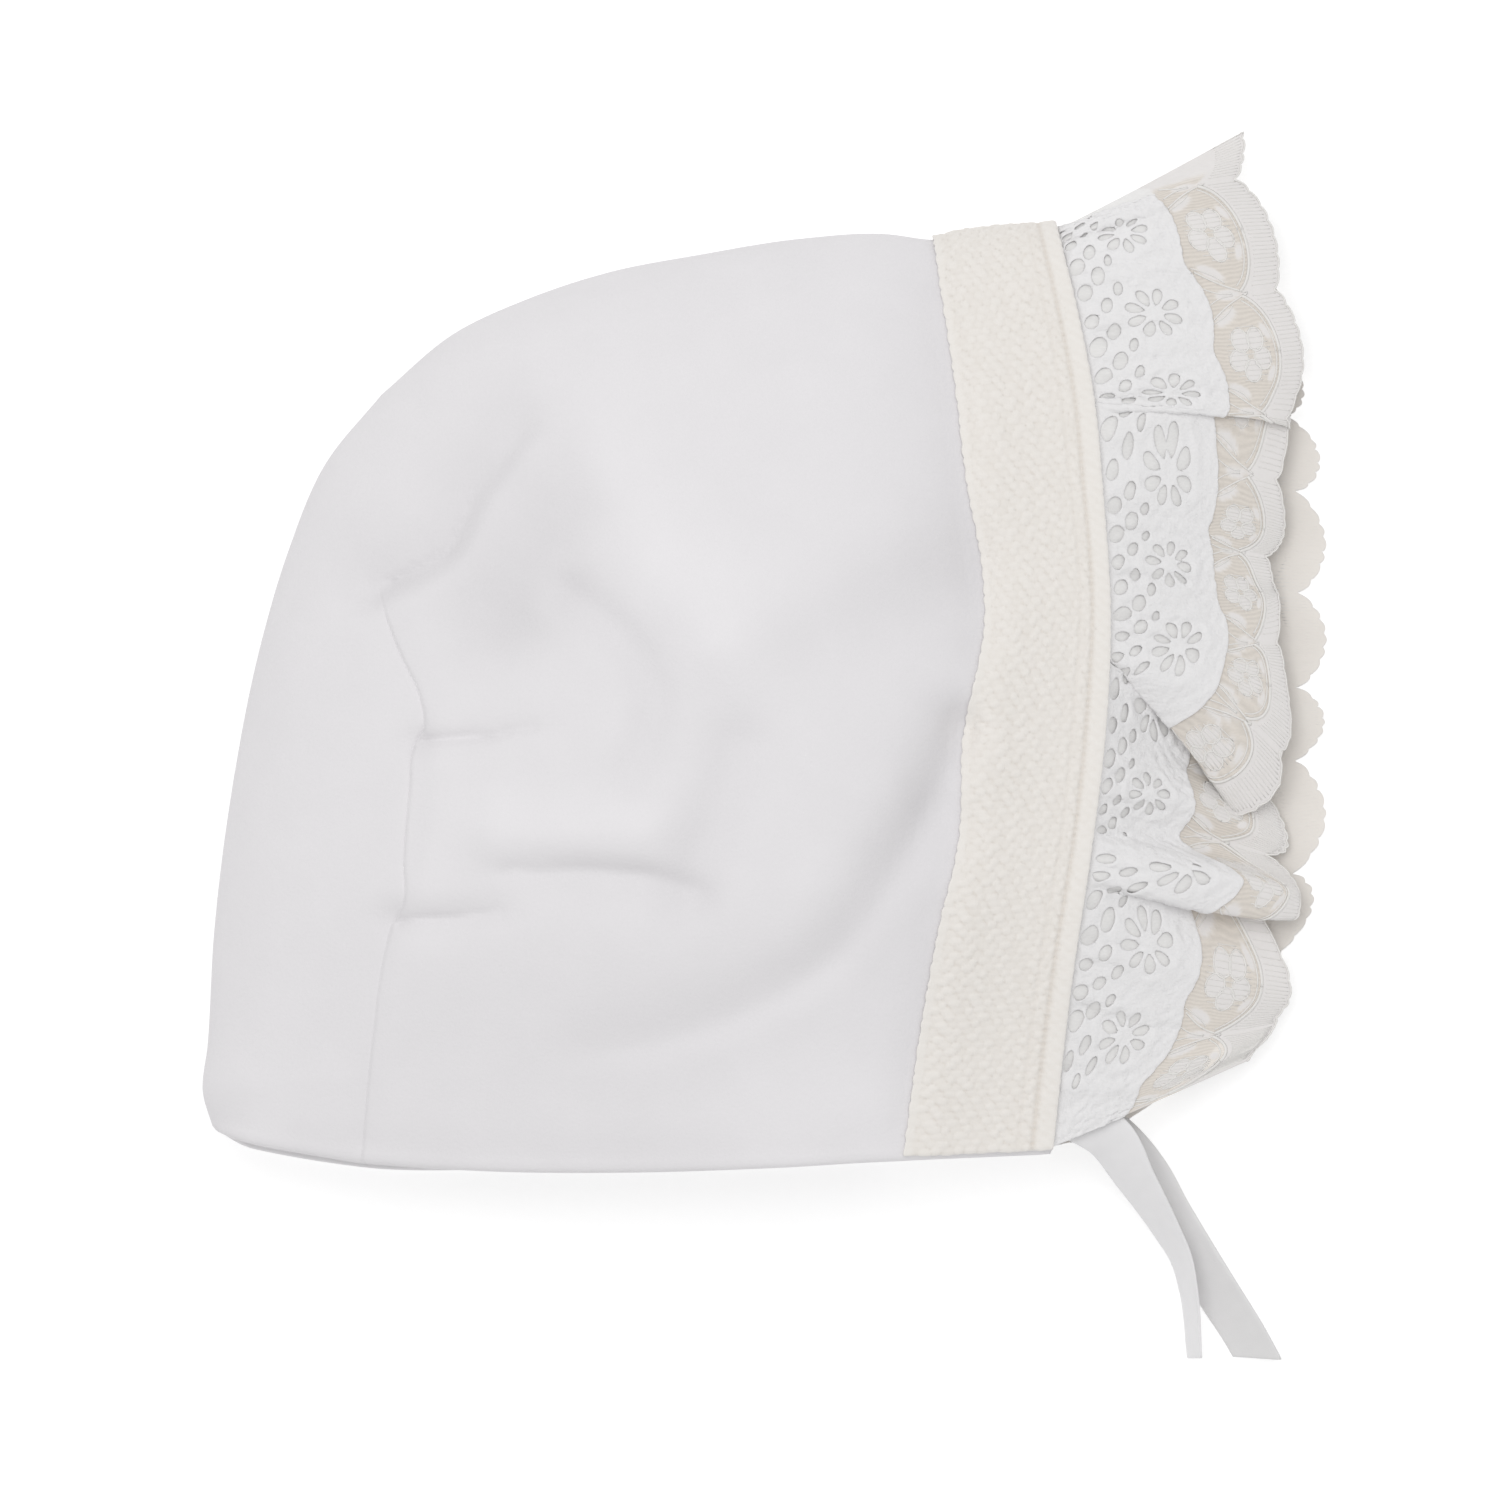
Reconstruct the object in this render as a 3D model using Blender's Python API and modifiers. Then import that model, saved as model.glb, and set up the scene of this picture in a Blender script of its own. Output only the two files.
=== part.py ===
"""Baby bonnet of soft doubled fleece, lying on its left side as it does on a table.

A cream knit band covers the front of the crown. Two lace ruffles are gathered into the front
seam, a short cotton one outside and a longer scalloped net one inside, and two ribbon ties leave
the front neck corners. The crown is a hollow shell, open at the face and at the neck.

The tables are in millimetres, measured on the lying bonnet: x runs from the nape to the face,
y from the neck edge to the top fold, and z up from the table. The near side faces up, and the
far side lies on the table.
"""

import math
from collections import namedtuple

import bmesh
import bpy
import numpy as np

MM = 0.001

# Middle of the bonnet's box, without the ties, in the measure above
BOX_CENTRE_X = 95.41
BOX_CENTRE_Y = 86.87

# Walls and gaps
FLEECE_WALL = 2.5
BAND_WALL = 1.5
LACE_WALL = 1.0
RIBBON_WALL = 0.8
GAP = 0.3

# Form of the crown: heights above the table, and how far in from the fold each rounding reaches
FOLD_HEIGHT = 7.0
SHOULDER_HEIGHT = 10.0
SHOULDER_REACH = 10.0
UNDERSIDE_REACH = 7.0
DOME_HEIGHT = 24.0
DOME_REACH = 75.0
RIM_SAG = 0.60
RIM_SAG_REACH = 48.0
FOLDS_START = 8.0

# Room that the knit band takes from the crown, and the far hem that shows below the near one
BAND_LIFT = 0.1
BAND_ROOM = BAND_WALL + GAP + BAND_LIFT
BAND_SINK = 0.8
BAND_RAMP = 6.0
HEM_SHOWS = 1.1
HEM_SHOWS_FROM = 27.0
HEM_SHOWS_TO = 55.0
HEM_SHARE = 0.08

# Grid of the crown: distances of the first lines from the fold, then even steps
ROUNDING_LINES = (0.0, 0.5, 1.7, 3.6, 6.2, 9.6)
BAND_COLUMNS = 4
REAR_COLUMNS = 21
SIDE_ROWS = 23
ROW_LENGTH = 118.0
COLUMN_LENGTH = 157.0
FLAT_ANGLE = math.radians(0.4)

# Outline of the crown, each row an (x, y) point
TOP_FOLD = ((143.9, 158.5), (136.0, 157.9), (124.0, 156.9), (115.8, 157.9), (101.3, 157.1),
            (84.3, 154.4), (69.2, 151.5), (55.1, 146.9), (42.7, 141.1), (30.3, 130.7))
BACK_FOLD = ((30.3, 130.7), (20.7, 118.8), (14.5, 104.2), (10.0, 89.1), (5.1, 64.8),
             (1.9, 39.5), (0.8, 20.4), (0.0, 12.0), (1.6, 6.6))
NECK_EDGE = ((1.6, 6.6), (11.0, 4.4), (26.4, 1.9), (46.2, 0.5), (73.1, 0.2), (96.0, 0.9),
             (118.8, 2.1), (143.1, 3.2))
FACE_EDGE = ((143.1, 3.2), (144.5, 16.8), (146.5, 33.5), (149.3, 52.2), (151.9, 74.0),
             (152.7, 94.0), (151.6, 112.0), (149.8, 131.0), (146.9, 146.0), (143.9, 158.5))
BAND_EDGE = ((118.8, 2.1), (121.9, 25.0), (124.8, 41.0), (127.9, 54.0), (129.3, 75.0),
             (132.6, 94.0), (132.0, 103.0), (129.7, 114.0), (127.6, 132.0), (124.0, 156.9))

# Folds of the near side: the (x, y) points of the path, how high the fold stands at the path's
# start and end, where minus sinks in, and how wide it is to the left and right of the path
Fold = namedtuple("Fold", "name path start end left right")
FOLDS = (
    Fold("upper_pleat", ((30.3, 97.4), (42.2, 104.2), (46.5, 113.0), (55.6, 125.6)),
         -2.6, -1.6, 8, 2),
    Fold("dimple", ((50.0, 92.0), (52.5, 100.0), (54.0, 112.0)),
         -5.0, -2.5, 8, 8),
    Fold("bright_ridge", ((60.0, 130.0), (72.0, 112.0), (84.0, 97.0), (98.0, 86.0)),
         2.0, 2.5, 13, 13),
    Fold("curved_crease", ((64.0, 95.0), (73.0, 88.0), (77.0, 78.0), (74.0, 67.0)),
         -2.0, -2.0, 6, 4),
    Fold("middle_pleat", ((36.6, 71.4), (47.0, 72.2), (57.3, 74.3)),
         -1.8, -0.6, 3, 3),
    Fold("lower_pleat", ((32.3, 42.0), (42.0, 42.2), (50.5, 43.9)),
         -2.0, -1.4, 3, 4),
    Fold("side_bulge", ((50.0, 56.5), (62.0, 56.5), (74.0, 57.0)),
         1.6, 2.0, 7, 6),
    Fold("side_crease", ((50.0, 49.0), (64.0, 50.0), (78.0, 49.6), (86.0, 47.0)),
         -2.6, -4.0, 3, 8),
    Fold("short_crease", ((86.0, 74.0), (88.0, 64.0), (85.0, 52.0)),
         -1.8, -3.0, 6, 5),
    Fold("jaw_valley", ((66.0, 20.0), (84.0, 24.0), (99.0, 32.0), (115.0, 48.0)),
         -1.5, -6.0, 6, 8),
    Fold("cheek_valley", ((115.0, 48.0), (122.0, 57.0), (127.0, 66.0), (129.5, 74.0)),
         -5.0, -2.5, 6, 6),
    Fold("ear_hollow", ((106.0, 88.0), (118.0, 95.0), (129.0, 102.0)),
         -1.2, -3.5, 9, 8),
    Fold("band_hollow", ((124.0, 146.0), (127.0, 130.0), (129.0, 113.0), (131.0, 98.0)),
         -1.5, -4.0, 3, 6),
    Fold("panel_seam", ((27.5, 5.0), (31.5, 37.4), (35.2, 48.0), (37.5, 74.0), (30.3, 97.4)),
         -1.2, -1.4, 2.4, 2.4),
    Fold("panel_edge", ((33.0, 30.0), (38.5, 50.0), (40.5, 72.0)),
         0.4, 1.0, 3, 5),
)

# Outer edge of the net ruffle, from the far neck corner over the top fold to the near corner.
# Columns: share of the rim's length, x, y, z
NET_EDGE = (
    (0.000, 173.0, 20.5, 0.2),
    (0.050, 182.5, 32.0, 0.2),
    (0.110, 188.4, 47.0, 0.2),
    (0.200, 190.4, 71.0, 0.2),
    (0.290, 190.8, 97.0, 0.2),
    (0.380, 189.4, 122.0, 0.3),
    (0.440, 184.0, 143.0, 1.0),
    (0.485, 178.2, 168.0, 4.0),
    (0.505, 176.8, 175.0, 8.0),
    (0.525, 179.2, 169.0, 12.0),
    (0.560, 184.2, 154.0, 13.0),
    (0.640, 187.0, 128.0, 10.0),
    (0.720, 184.0, 99.0, 7.0),
    (0.800, 187.0, 71.0, 5.5),
    (0.870, 185.0, 49.0, 5.5),
    (0.920, 186.0, 36.0, 6.0),
    (0.965, 184.0, 26.0, 7.0),
    (1.000, 177.0, 18.8, 8.0),
)
NET_REPEATS = 18
NET_COLUMNS_EACH = 5
NET_ROWS = 5
NET_SCALLOP = 0.045
NET_SPRING = 0.38
NET_GATHERS = 15
NET_GATHER_DEPTH = 0.8
FAR_DROP_START = 0.52
FAR_DROP_LENGTH = 0.33

# Cotton ruffle: its share of the net ruffle's reach, and the chart of one pierced repeat, read
# from the seam outwards, where a dot is a hole cut through
COTTON_REACH = 0.50
COTTON_LIFT = 0.6
COTTON_SCALLOP = 0.07
COTTON_REPEATS = 20
COTTON_CHART = ("######",
                ".#.#.#",
                "######",
                "##.#.#",
                "######")
COTTON_LINES = (0.0, 0.13, 0.30, 0.42, 0.78, 1.0)

# Ties: points of the ribbon's middle line, and how far its right edge is rolled up.
# Columns: x, y, z, roll in degrees
TIE_WIDTH = 7.8
TIE_STEPS = 22
TIES = {
    "tie_right": (
        (147.5, 8.6, 17.4, 0), (153.6, 4.4, 14.4, 4), (158.6, -1.8, 10.0, 12),
        (163.2, -9.6, 6.0, 24), (165.9, -15.8, 4.6, 38), (167.4, -22.4, 4.1, 58),
        (168.3, -32.7, 4.1, 72)),
    "tie_left": (
        (147.5, 9.2, 4.2, 0), (155.0, 4.2, 4.2, 0), (160.4, -1.8, 2.4, 0),
        (164.0, -8.0, 0.8, 0), (168.4, -14.6, 0.5, 0), (172.8, -21.8, 0.5, 0),
        (177.0, -29.0, 0.5, 0), (179.0, -32.8, 0.5, 0)),
}

# Fineness of the sampled curves, and the step for slopes
CURVE_SAMPLES = 160
FOLD_SAMPLES = 30
RIM_SAMPLES = 600
SLOPE_STEP = 0.001
WELD = 0.000002

# Colours as seen in daylight, 0 to 255, and roughness
FINISHES = {
    "fleece": ((232, 230, 231), 0.95),
    "knit": ((228, 225, 217), 0.90),
    "cotton": ((234, 233, 231), 0.85),
    "net": ((226, 222, 216), 0.70),
    "ribbon": ((228, 226, 226), 0.45),
}


def hermite(knots, rows, at):
    """Values of a smooth curve that passes through each row at its knot."""
    knots = np.asarray(knots, dtype=float)
    rows = np.asarray(rows, dtype=float)
    slopes = np.gradient(rows, knots, axis=0)
    at = np.asarray(at, dtype=float)
    piece = np.clip(np.searchsorted(knots, at, side="right") - 1, 0, len(knots) - 2)
    span = (knots[1:] - knots[:-1])[piece][..., None]
    t = (at - knots[piece])[..., None] / span
    return ((2 * t ** 3 - 3 * t ** 2 + 1) * rows[piece]
            + (t ** 3 - 2 * t ** 2 + t) * span * slopes[piece]
            + (3 * t ** 2 - 2 * t ** 3) * rows[piece + 1]
            + (t ** 3 - t ** 2) * span * slopes[piece + 1])


def running_length(points):
    """Length along a polyline at each of its points."""
    steps = np.linalg.norm(np.diff(points, axis=0), axis=1)
    return np.concatenate(([0.0], np.cumsum(steps)))


def smooth_curve(rows, samples=CURVE_SAMPLES):
    """Evenly spaced points of a smooth curve that passes through each row."""
    rows = np.array(rows, dtype=float)
    knots = running_length(rows)
    fine = hermite(knots, rows, np.linspace(0.0, knots[-1], samples * 4))
    length = running_length(fine)
    at = np.linspace(0.0, length[-1], samples)
    return np.stack([np.interp(at, length, column) for column in fine.T], axis=1)


def along(curve, share):
    """Points at these shares of an evenly spaced curve's length."""
    at = np.asarray(share, dtype=float) * (len(curve) - 1)
    index = np.arange(len(curve))
    return np.stack([np.interp(at, index, column) for column in curve.T], axis=-1)


def nearest(curve, x, y):
    """Distance to a curve, share of its length at the nearest point, and which side is left."""
    start = curve[:-1]
    step = curve[1:] - start
    from_x = x[..., None] - start[:, 0]
    from_y = y[..., None] - start[:, 1]
    t = (from_x * step[:, 0] + from_y * step[:, 1]) / (step ** 2).sum(axis=1)
    t = np.clip(t, 0.0, 1.0)
    squared = (from_x - t * step[:, 0]) ** 2 + (from_y - t * step[:, 1]) ** 2
    pick = np.argmin(squared, axis=-1)[..., None]
    turn = step[:, 0] * from_y - step[:, 1] * from_x
    distance = np.sqrt(np.take_along_axis(squared, pick, -1)[..., 0])
    share = (pick[..., 0] + np.take_along_axis(t, pick, -1)[..., 0]) / len(step)
    on_left = np.take_along_axis(turn, pick, -1)[..., 0] > 0.0
    return distance, share, on_left


def ease(value):
    """Rise smoothly from 0 to 1 as the value goes from 0 to 1."""
    t = np.clip(value, 0.0, 1.0)
    return t * t * (3.0 - 2.0 * t)


def quarter_round(value):
    """Height of a quarter circle: upright at 0, level from 1 on."""
    return np.sqrt(1.0 - (1.0 - np.clip(value, 0.0, 1.0)) ** 2)


TOP = smooth_curve(TOP_FOLD)
BACK = smooth_curve(BACK_FOLD)
NECK = smooth_curve(NECK_EDGE)
FACE = smooth_curve(FACE_EDGE)
BAND = smooth_curve(BAND_EDGE)
WHOLE_FOLD = np.concatenate((TOP, BACK[1:]))
BAND_ON_TOP = float(nearest(TOP, *BAND[-1])[1])
BAND_ON_NECK = float(nearest(NECK, *BAND[0])[1])


def patch(front, back, neck, top, share_back, share_up):
    """Flat points between four edges, each given as its points at the shares asked for."""
    back_by = share_back[..., None]
    up_by = share_up[..., None]
    sides = (1 - back_by) * front(share_up) + back_by * back(share_up)
    ends = (1 - up_by) * neck(share_back) + up_by * top(share_back)
    low = (1 - back_by) * front(0.0) + back_by * back(0.0)
    high = (1 - back_by) * front(1.0) + back_by * back(1.0)
    return sides + ends - ((1 - up_by) * low + up_by * high)


def band_ground(share_back, share_up):
    """Flat points under the knit band, from the face edge back to the band's own edge."""
    return patch(lambda v: along(FACE, v),
                 lambda v: along(BAND, v),
                 lambda u: along(NECK, 1.0 - np.asarray(u) * (1.0 - BAND_ON_NECK)),
                 lambda u: along(TOP, np.asarray(u) * BAND_ON_TOP),
                 share_back, share_up)


def rear_ground(share_back, share_up):
    """Flat points of the crown behind the band, from the band's edge to the back fold."""
    return patch(lambda v: along(BAND, v),
                 lambda v: along(BACK, 1.0 - np.asarray(v)),
                 lambda u: along(NECK, (1.0 - np.asarray(u)) * BAND_ON_NECK),
                 lambda u: along(TOP, BAND_ON_TOP + np.asarray(u) * (1.0 - BAND_ON_TOP)),
                 share_back, share_up)


def under_band(x, y):
    """1 under the knit band, easing to 0 behind it."""
    distance, _, behind = nearest(BAND, x, y)
    return np.where(behind, ease(1.0 - distance / BAND_RAMP), 1.0)


def folds_height(x, y):
    """How far the folds of the near side raise or sink it."""
    height = np.zeros_like(x)
    for fold in FOLDS:
        distance, share, on_left = nearest(smooth_curve(fold.path, FOLD_SAMPLES), x, y)
        width = np.where(on_left, fold.left, fold.right)
        rise = fold.start + (fold.end - fold.start) * share
        height += rise * np.exp(-(distance / width) ** 2)
    return height


def near_height(x, y):
    """Height of the near side above the table."""
    inset = nearest(WHOLE_FOLD, x, y)[0]
    dome = 1.0 - (1.0 - np.clip(inset / DOME_REACH, 0.0, 1.0)) ** 2
    for edge in (FACE, NECK):
        dome *= 1.0 - RIM_SAG * (1.0 - ease(nearest(edge, x, y)[0] / RIM_SAG_REACH))
    shoulder = SHOULDER_HEIGHT * quarter_round(inset / SHOULDER_REACH)
    dents = (folds_height(x, y) - BAND_SINK * under_band(x, y)) * ease(inset / FOLDS_START)
    return FOLD_HEIGHT + shoulder + DOME_HEIGHT * dome + dents


def far_height(x, y):
    """Height of the far side, which lies on the table and rises to leave the band its room."""
    inset = nearest(WHOLE_FOLD, x, y)[0]
    rounding = FOLD_HEIGHT * (1.0 - quarter_round(inset / UNDERSIDE_REACH))
    return rounding + BAND_ROOM * under_band(x, y) * ease(inset / UNDERSIDE_REACH)


def shell_points(ground, share_back, share_up, near):
    """Points of the crown's outer surface on the near or the far side."""
    flat = ground(share_back, share_up)
    x = flat[..., 0]
    y = flat[..., 1]
    height = np.where(near, near_height(x, y), far_height(x, y))
    inset = nearest(WHOLE_FOLD, x, y)[0]
    far_hem = HEM_SHOWS * ease(1.0 - share_up / HEM_SHARE) * ease(inset / UNDERSIDE_REACH)
    far_hem *= ease((HEM_SHOWS_TO - x) / (HEM_SHOWS_TO - HEM_SHOWS_FROM))
    y = np.where(near, y, y - far_hem)
    return np.stack((x, y, height), axis=-1)


def lines_from_fold(even_steps, length):
    """Shares of a length at the grid lines: crowded at the fold, then even to the far end."""
    crowded = np.array(ROUNDING_LINES) / length
    return np.concatenate((crowded, np.linspace(crowded[-1], 1.0, even_steps + 1)[1:]))


SIDE_LINES = lines_from_fold(SIDE_ROWS, COLUMN_LENGTH)
REAR_LINES = 1.0 - lines_from_fold(REAR_COLUMNS, ROW_LENGTH)[::-1]
# From the far neck edge, over the top fold at 0, to the near neck edge
ROUND_LINES = np.concatenate((-SIDE_LINES[:0:-1], SIDE_LINES))


def rim_frame():
    """Points along the crown's face rim, with the way forward and the way out of the bonnet."""
    # Squared, so that the samples crowd where the rim turns over the top fold
    dense = np.linspace(-1.0, 1.0, RIM_SAMPLES)
    turn = dense * np.abs(dense)
    near = turn > 0.0
    up = 1.0 - np.abs(turn)
    rim = shell_points(band_ground, np.zeros_like(up), up, near)
    behind = shell_points(band_ground, np.full_like(up, 1.0 / BAND_COLUMNS), up, near)
    length = running_length(rim)
    forward = (rim - behind) / np.linalg.norm(rim - behind, axis=1)[:, None]
    tangent = np.gradient(rim, length, axis=0)
    outward = np.cross(tangent, forward)
    outward /= np.linalg.norm(outward, axis=1)[:, None]
    return length / length[-1], rim, forward, outward


RIM_SHARE, RIM, RIM_FORWARD, RIM_OUTWARD = rim_frame()


def on_rim(values, share):
    """Values of one of the rim's tables at these shares of its length."""
    return np.stack([np.interp(share, RIM_SHARE, column) for column in values.T], axis=-1)


def net_points(share_round, reach):
    """Outer face of the net ruffle: round the rim, and from the seam out to its edge."""
    w = reach[..., None]
    outward = on_rim(RIM_OUTWARD, share_round)
    seam = on_rim(RIM, share_round) + GAP * on_rim(RIM_FORWARD, share_round) - GAP * outward
    knots = [row[0] for row in NET_EDGE]
    edge = hermite(knots, [row[1:] for row in NET_EDGE], share_round)
    notch = NET_SCALLOP * (1.0 - np.abs(np.sin(math.pi * NET_REPEATS * share_round))) * reach ** 3
    reach_by = w - notch[..., None]
    length = np.linalg.norm(edge - seam, axis=-1)[..., None]
    bend = seam + NET_SPRING * length * on_rim(RIM_FORWARD, share_round)
    points = (1 - reach_by) ** 2 * seam + 2 * reach_by * (1 - reach_by) * bend + reach_by ** 2 * edge
    far = ease(-outward[..., 2])
    late_drop = ease((reach - FAR_DROP_START) / FAR_DROP_LENGTH)
    on_table = seam[..., 2] + (edge[..., 2] - seam[..., 2]) * late_drop
    wave = np.sin(2.0 * math.pi * NET_GATHERS * share_round)
    on_table += NET_GATHER_DEPTH * reach * (1.0 + wave)
    points[..., 2] += ease(outward[..., 2]) * NET_GATHER_DEPTH * reach * wave
    points[..., 2] += far * (on_table - points[..., 2])
    return points


def cotton_points(share_round, reach):
    """Inner face of the cotton ruffle, which lies on the net ruffle."""
    notch = 1.0 - COTTON_SCALLOP * (1.0 - np.abs(np.sin(math.pi * COTTON_REPEATS * share_round)))
    on_net = COTTON_REACH * reach * notch
    points = net_points(share_round, on_net)
    inside = np.clip(share_round, SLOPE_STEP, 1.0 - SLOPE_STEP)
    round_slope = net_points(inside + SLOPE_STEP, on_net) - net_points(inside - SLOPE_STEP, on_net)
    out_slope = net_points(inside, on_net + SLOPE_STEP) - net_points(inside, on_net)
    outward = np.cross(round_slope, out_slope)
    outward /= np.linalg.norm(outward, axis=-1)[..., None]
    return points + COTTON_LIFT * outward


def tie_points(rows, share, across):
    """Points of a ribbon: along its middle line, and across its width from -1 to 1."""
    rows = np.array(rows, dtype=float)
    knots = running_length(rows[:, :3])
    middle = hermite(knots, rows, share * knots[-1])
    ahead = hermite(knots, rows, np.clip(share + SLOPE_STEP, 0.0, 1.0) * knots[-1])
    behind = hermite(knots, rows, np.clip(share - SLOPE_STEP, 0.0, 1.0) * knots[-1])
    heading = (ahead - behind)[..., :2]
    heading /= np.linalg.norm(heading, axis=-1)[..., None]
    roll = np.radians(middle[..., 3])
    sideways = np.stack((-heading[..., 1] * np.cos(roll), heading[..., 0] * np.cos(roll),
                         np.sin(roll)), axis=-1)
    return middle[..., :3] + sideways * (across * TIE_WIDTH / 2.0)[..., None]


def sheet(columns, rows, place, is_hole=None):
    """A grid whose points are put in place by a function of their column and row numbers."""
    bm = bmesh.new()
    bmesh.ops.create_grid(bm, x_segments=columns, y_segments=rows, size=0.5)
    flat = np.array([vert.co[:2] for vert in bm.verts])
    column = np.rint((flat[:, 0] + 0.5) * columns).astype(int)
    row = np.rint((flat[:, 1] + 0.5) * rows).astype(int)
    if is_hole is not None:
        cut = []
        for face in bm.faces:
            middle = face.calc_center_median()
            cell = (int((middle.x + 0.5) * columns), int((middle.y + 0.5) * rows))
            if is_hole(*cell):
                cut.append(face)
        bmesh.ops.delete(bm, geom=cut, context="FACES_ONLY")
    placed = place(column, row)
    for vert, point in zip(bm.verts, placed):
        vert.co = ((point[0] - BOX_CENTRE_X) * MM, (point[1] - BOX_CENTRE_Y) * MM, point[2] * MM)
    loose = [vert for vert in bm.verts if not vert.link_faces]
    bmesh.ops.delete(bm, geom=loose, context="VERTS")
    bmesh.ops.remove_doubles(bm, verts=bm.verts, dist=WELD)
    bm.normal_update()
    return bm


def finish_material(name):
    """The plain finish of one kind of cloth."""
    (red, green, blue), roughness = FINISHES[name]
    material = bpy.data.materials.new(name)
    material.use_nodes = True
    shader = material.node_tree.nodes["Principled BSDF"]
    linear = [linear_light(value / 255.0) for value in (red, green, blue)]
    shader.inputs["Base Color"].default_value = (*linear, 1.0)
    shader.inputs["Roughness"].default_value = roughness
    shader.inputs["Metallic"].default_value = 0.0
    return material


def linear_light(value):
    """Turn one channel of a colour as seen into linear light."""
    return value / 12.92 if value <= 0.04045 else ((value + 0.055) / 1.055) ** 2.4


def cloth(name, bm, wall, side, finish):
    """Make a cloth piece from a sheet: the wall grows to its front, its back or both sides."""
    mesh = bpy.data.meshes.new(name)
    bm.to_mesh(mesh)
    bm.free()
    mesh.materials.append(finish_material(finish))
    mesh.shade_smooth()
    piece = bpy.data.objects.new(name, mesh)
    BONNET.objects.link(piece)
    wall_modifier = piece.modifiers.new("Wall", "SOLIDIFY")
    wall_modifier.thickness = wall * MM
    wall_modifier.offset = side
    return piece


def make_crown():
    """The fleece crown: one grid that runs round the top fold and is closed at the back fold."""
    def place(column, row):
        turn = ROUND_LINES[row]
        up = 1.0 - np.abs(turn)
        near = turn > 0.0
        in_band = column <= BAND_COLUMNS
        band_share = np.clip(column / BAND_COLUMNS, 0.0, 1.0)
        rear_share = REAR_LINES[np.clip(column - BAND_COLUMNS, 0, len(REAR_LINES) - 1)]
        front = shell_points(band_ground, band_share, up, near)
        rear = shell_points(rear_ground, rear_share, up, near)
        return np.where(in_band[:, None], front, rear)

    bm = sheet(BAND_COLUMNS + len(REAR_LINES) - 1, len(ROUND_LINES) - 1, place)
    crown = cloth("crown", bm, FLEECE_WALL, -1.0, "fleece")
    flats = crown.modifiers.new("Join flat faces", "DECIMATE")
    flats.decimate_type = "DISSOLVE"
    flats.angle_limit = FLAT_ANGLE
    return crown


def make_knit_band():
    """The knit band, on the same grid lines as the crown, lifted clear of it."""
    def place(column, row):
        turn = ROUND_LINES[row]
        return shell_points(band_ground, column / BAND_COLUMNS, 1.0 - np.abs(turn), turn > 0.0)

    bm = sheet(BAND_COLUMNS, len(ROUND_LINES) - 1, place)
    lifted = [vert.co + vert.normal * GAP * MM for vert in bm.verts]
    for vert, point in zip(bm.verts, lifted):
        vert.co = point
    return cloth("knit_band", bm, BAND_WALL, 1.0, "knit")


def make_net_lace():
    """The long scalloped net ruffle."""
    columns = NET_REPEATS * NET_COLUMNS_EACH
    bm = sheet(columns, NET_ROWS, lambda column, row: net_points(column / columns, row / NET_ROWS))
    return cloth("net_lace", bm, LACE_WALL, -1.0, "net")


def make_cotton_lace():
    """The short cotton ruffle, with its charted holes cut through."""
    width = len(COTTON_CHART[0])
    columns = width * COTTON_REPEATS
    lines = np.array(COTTON_LINES)
    bm = sheet(columns, len(COTTON_CHART),
               lambda column, row: cotton_points(column / columns, lines[row]),
               lambda column, row: COTTON_CHART[row][column % width] == ".")
    return cloth("cotton_lace", bm, LACE_WALL, 1.0, "cotton")


def make_tie(name, rows):
    """One ribbon tie."""
    bm = sheet(TIE_STEPS, 1, lambda column, row: tie_points(rows, column / TIE_STEPS, 2.0 * row - 1.0))
    return cloth(name, bm, RIBBON_WALL, 0.0, "ribbon")


for old in list(bpy.data.objects):
    bpy.data.objects.remove(old, do_unlink=True)

BONNET = bpy.data.collections.new("fleece_bonnet")
bpy.context.scene.collection.children.link(BONNET)

make_crown()
make_knit_band()
make_net_lace()
make_cotton_lace()
for tie_name, tie_rows in TIES.items():
    make_tie(tie_name, tie_rows)
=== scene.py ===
import math

import bpy
import numpy as np
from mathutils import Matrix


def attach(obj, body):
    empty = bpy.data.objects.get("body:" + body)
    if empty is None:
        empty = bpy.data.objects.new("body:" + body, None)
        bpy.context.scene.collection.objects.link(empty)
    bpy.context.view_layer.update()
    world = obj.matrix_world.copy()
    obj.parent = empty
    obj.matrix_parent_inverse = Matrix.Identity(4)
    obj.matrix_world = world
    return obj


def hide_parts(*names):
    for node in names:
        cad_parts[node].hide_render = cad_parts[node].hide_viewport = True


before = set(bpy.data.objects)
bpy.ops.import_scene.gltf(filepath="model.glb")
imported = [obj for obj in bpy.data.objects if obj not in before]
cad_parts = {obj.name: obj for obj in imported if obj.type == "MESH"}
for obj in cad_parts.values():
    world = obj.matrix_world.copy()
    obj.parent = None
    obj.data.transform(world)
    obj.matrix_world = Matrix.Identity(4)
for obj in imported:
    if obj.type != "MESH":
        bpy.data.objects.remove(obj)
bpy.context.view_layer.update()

# The tables are in millimetres, measured on the lying bonnet: x runs from the nape to the face,
# y from the neck edge to the top fold, and z up from the table. The near side faces up.
MM = 0.001
TURN = 2.0 * math.pi
BOX_CENTRE = np.array((95.41, 86.87, 0.0))

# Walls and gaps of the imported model
FLEECE_WALL = 2.5
BAND_WALL = 1.5
GAP = 0.3

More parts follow.
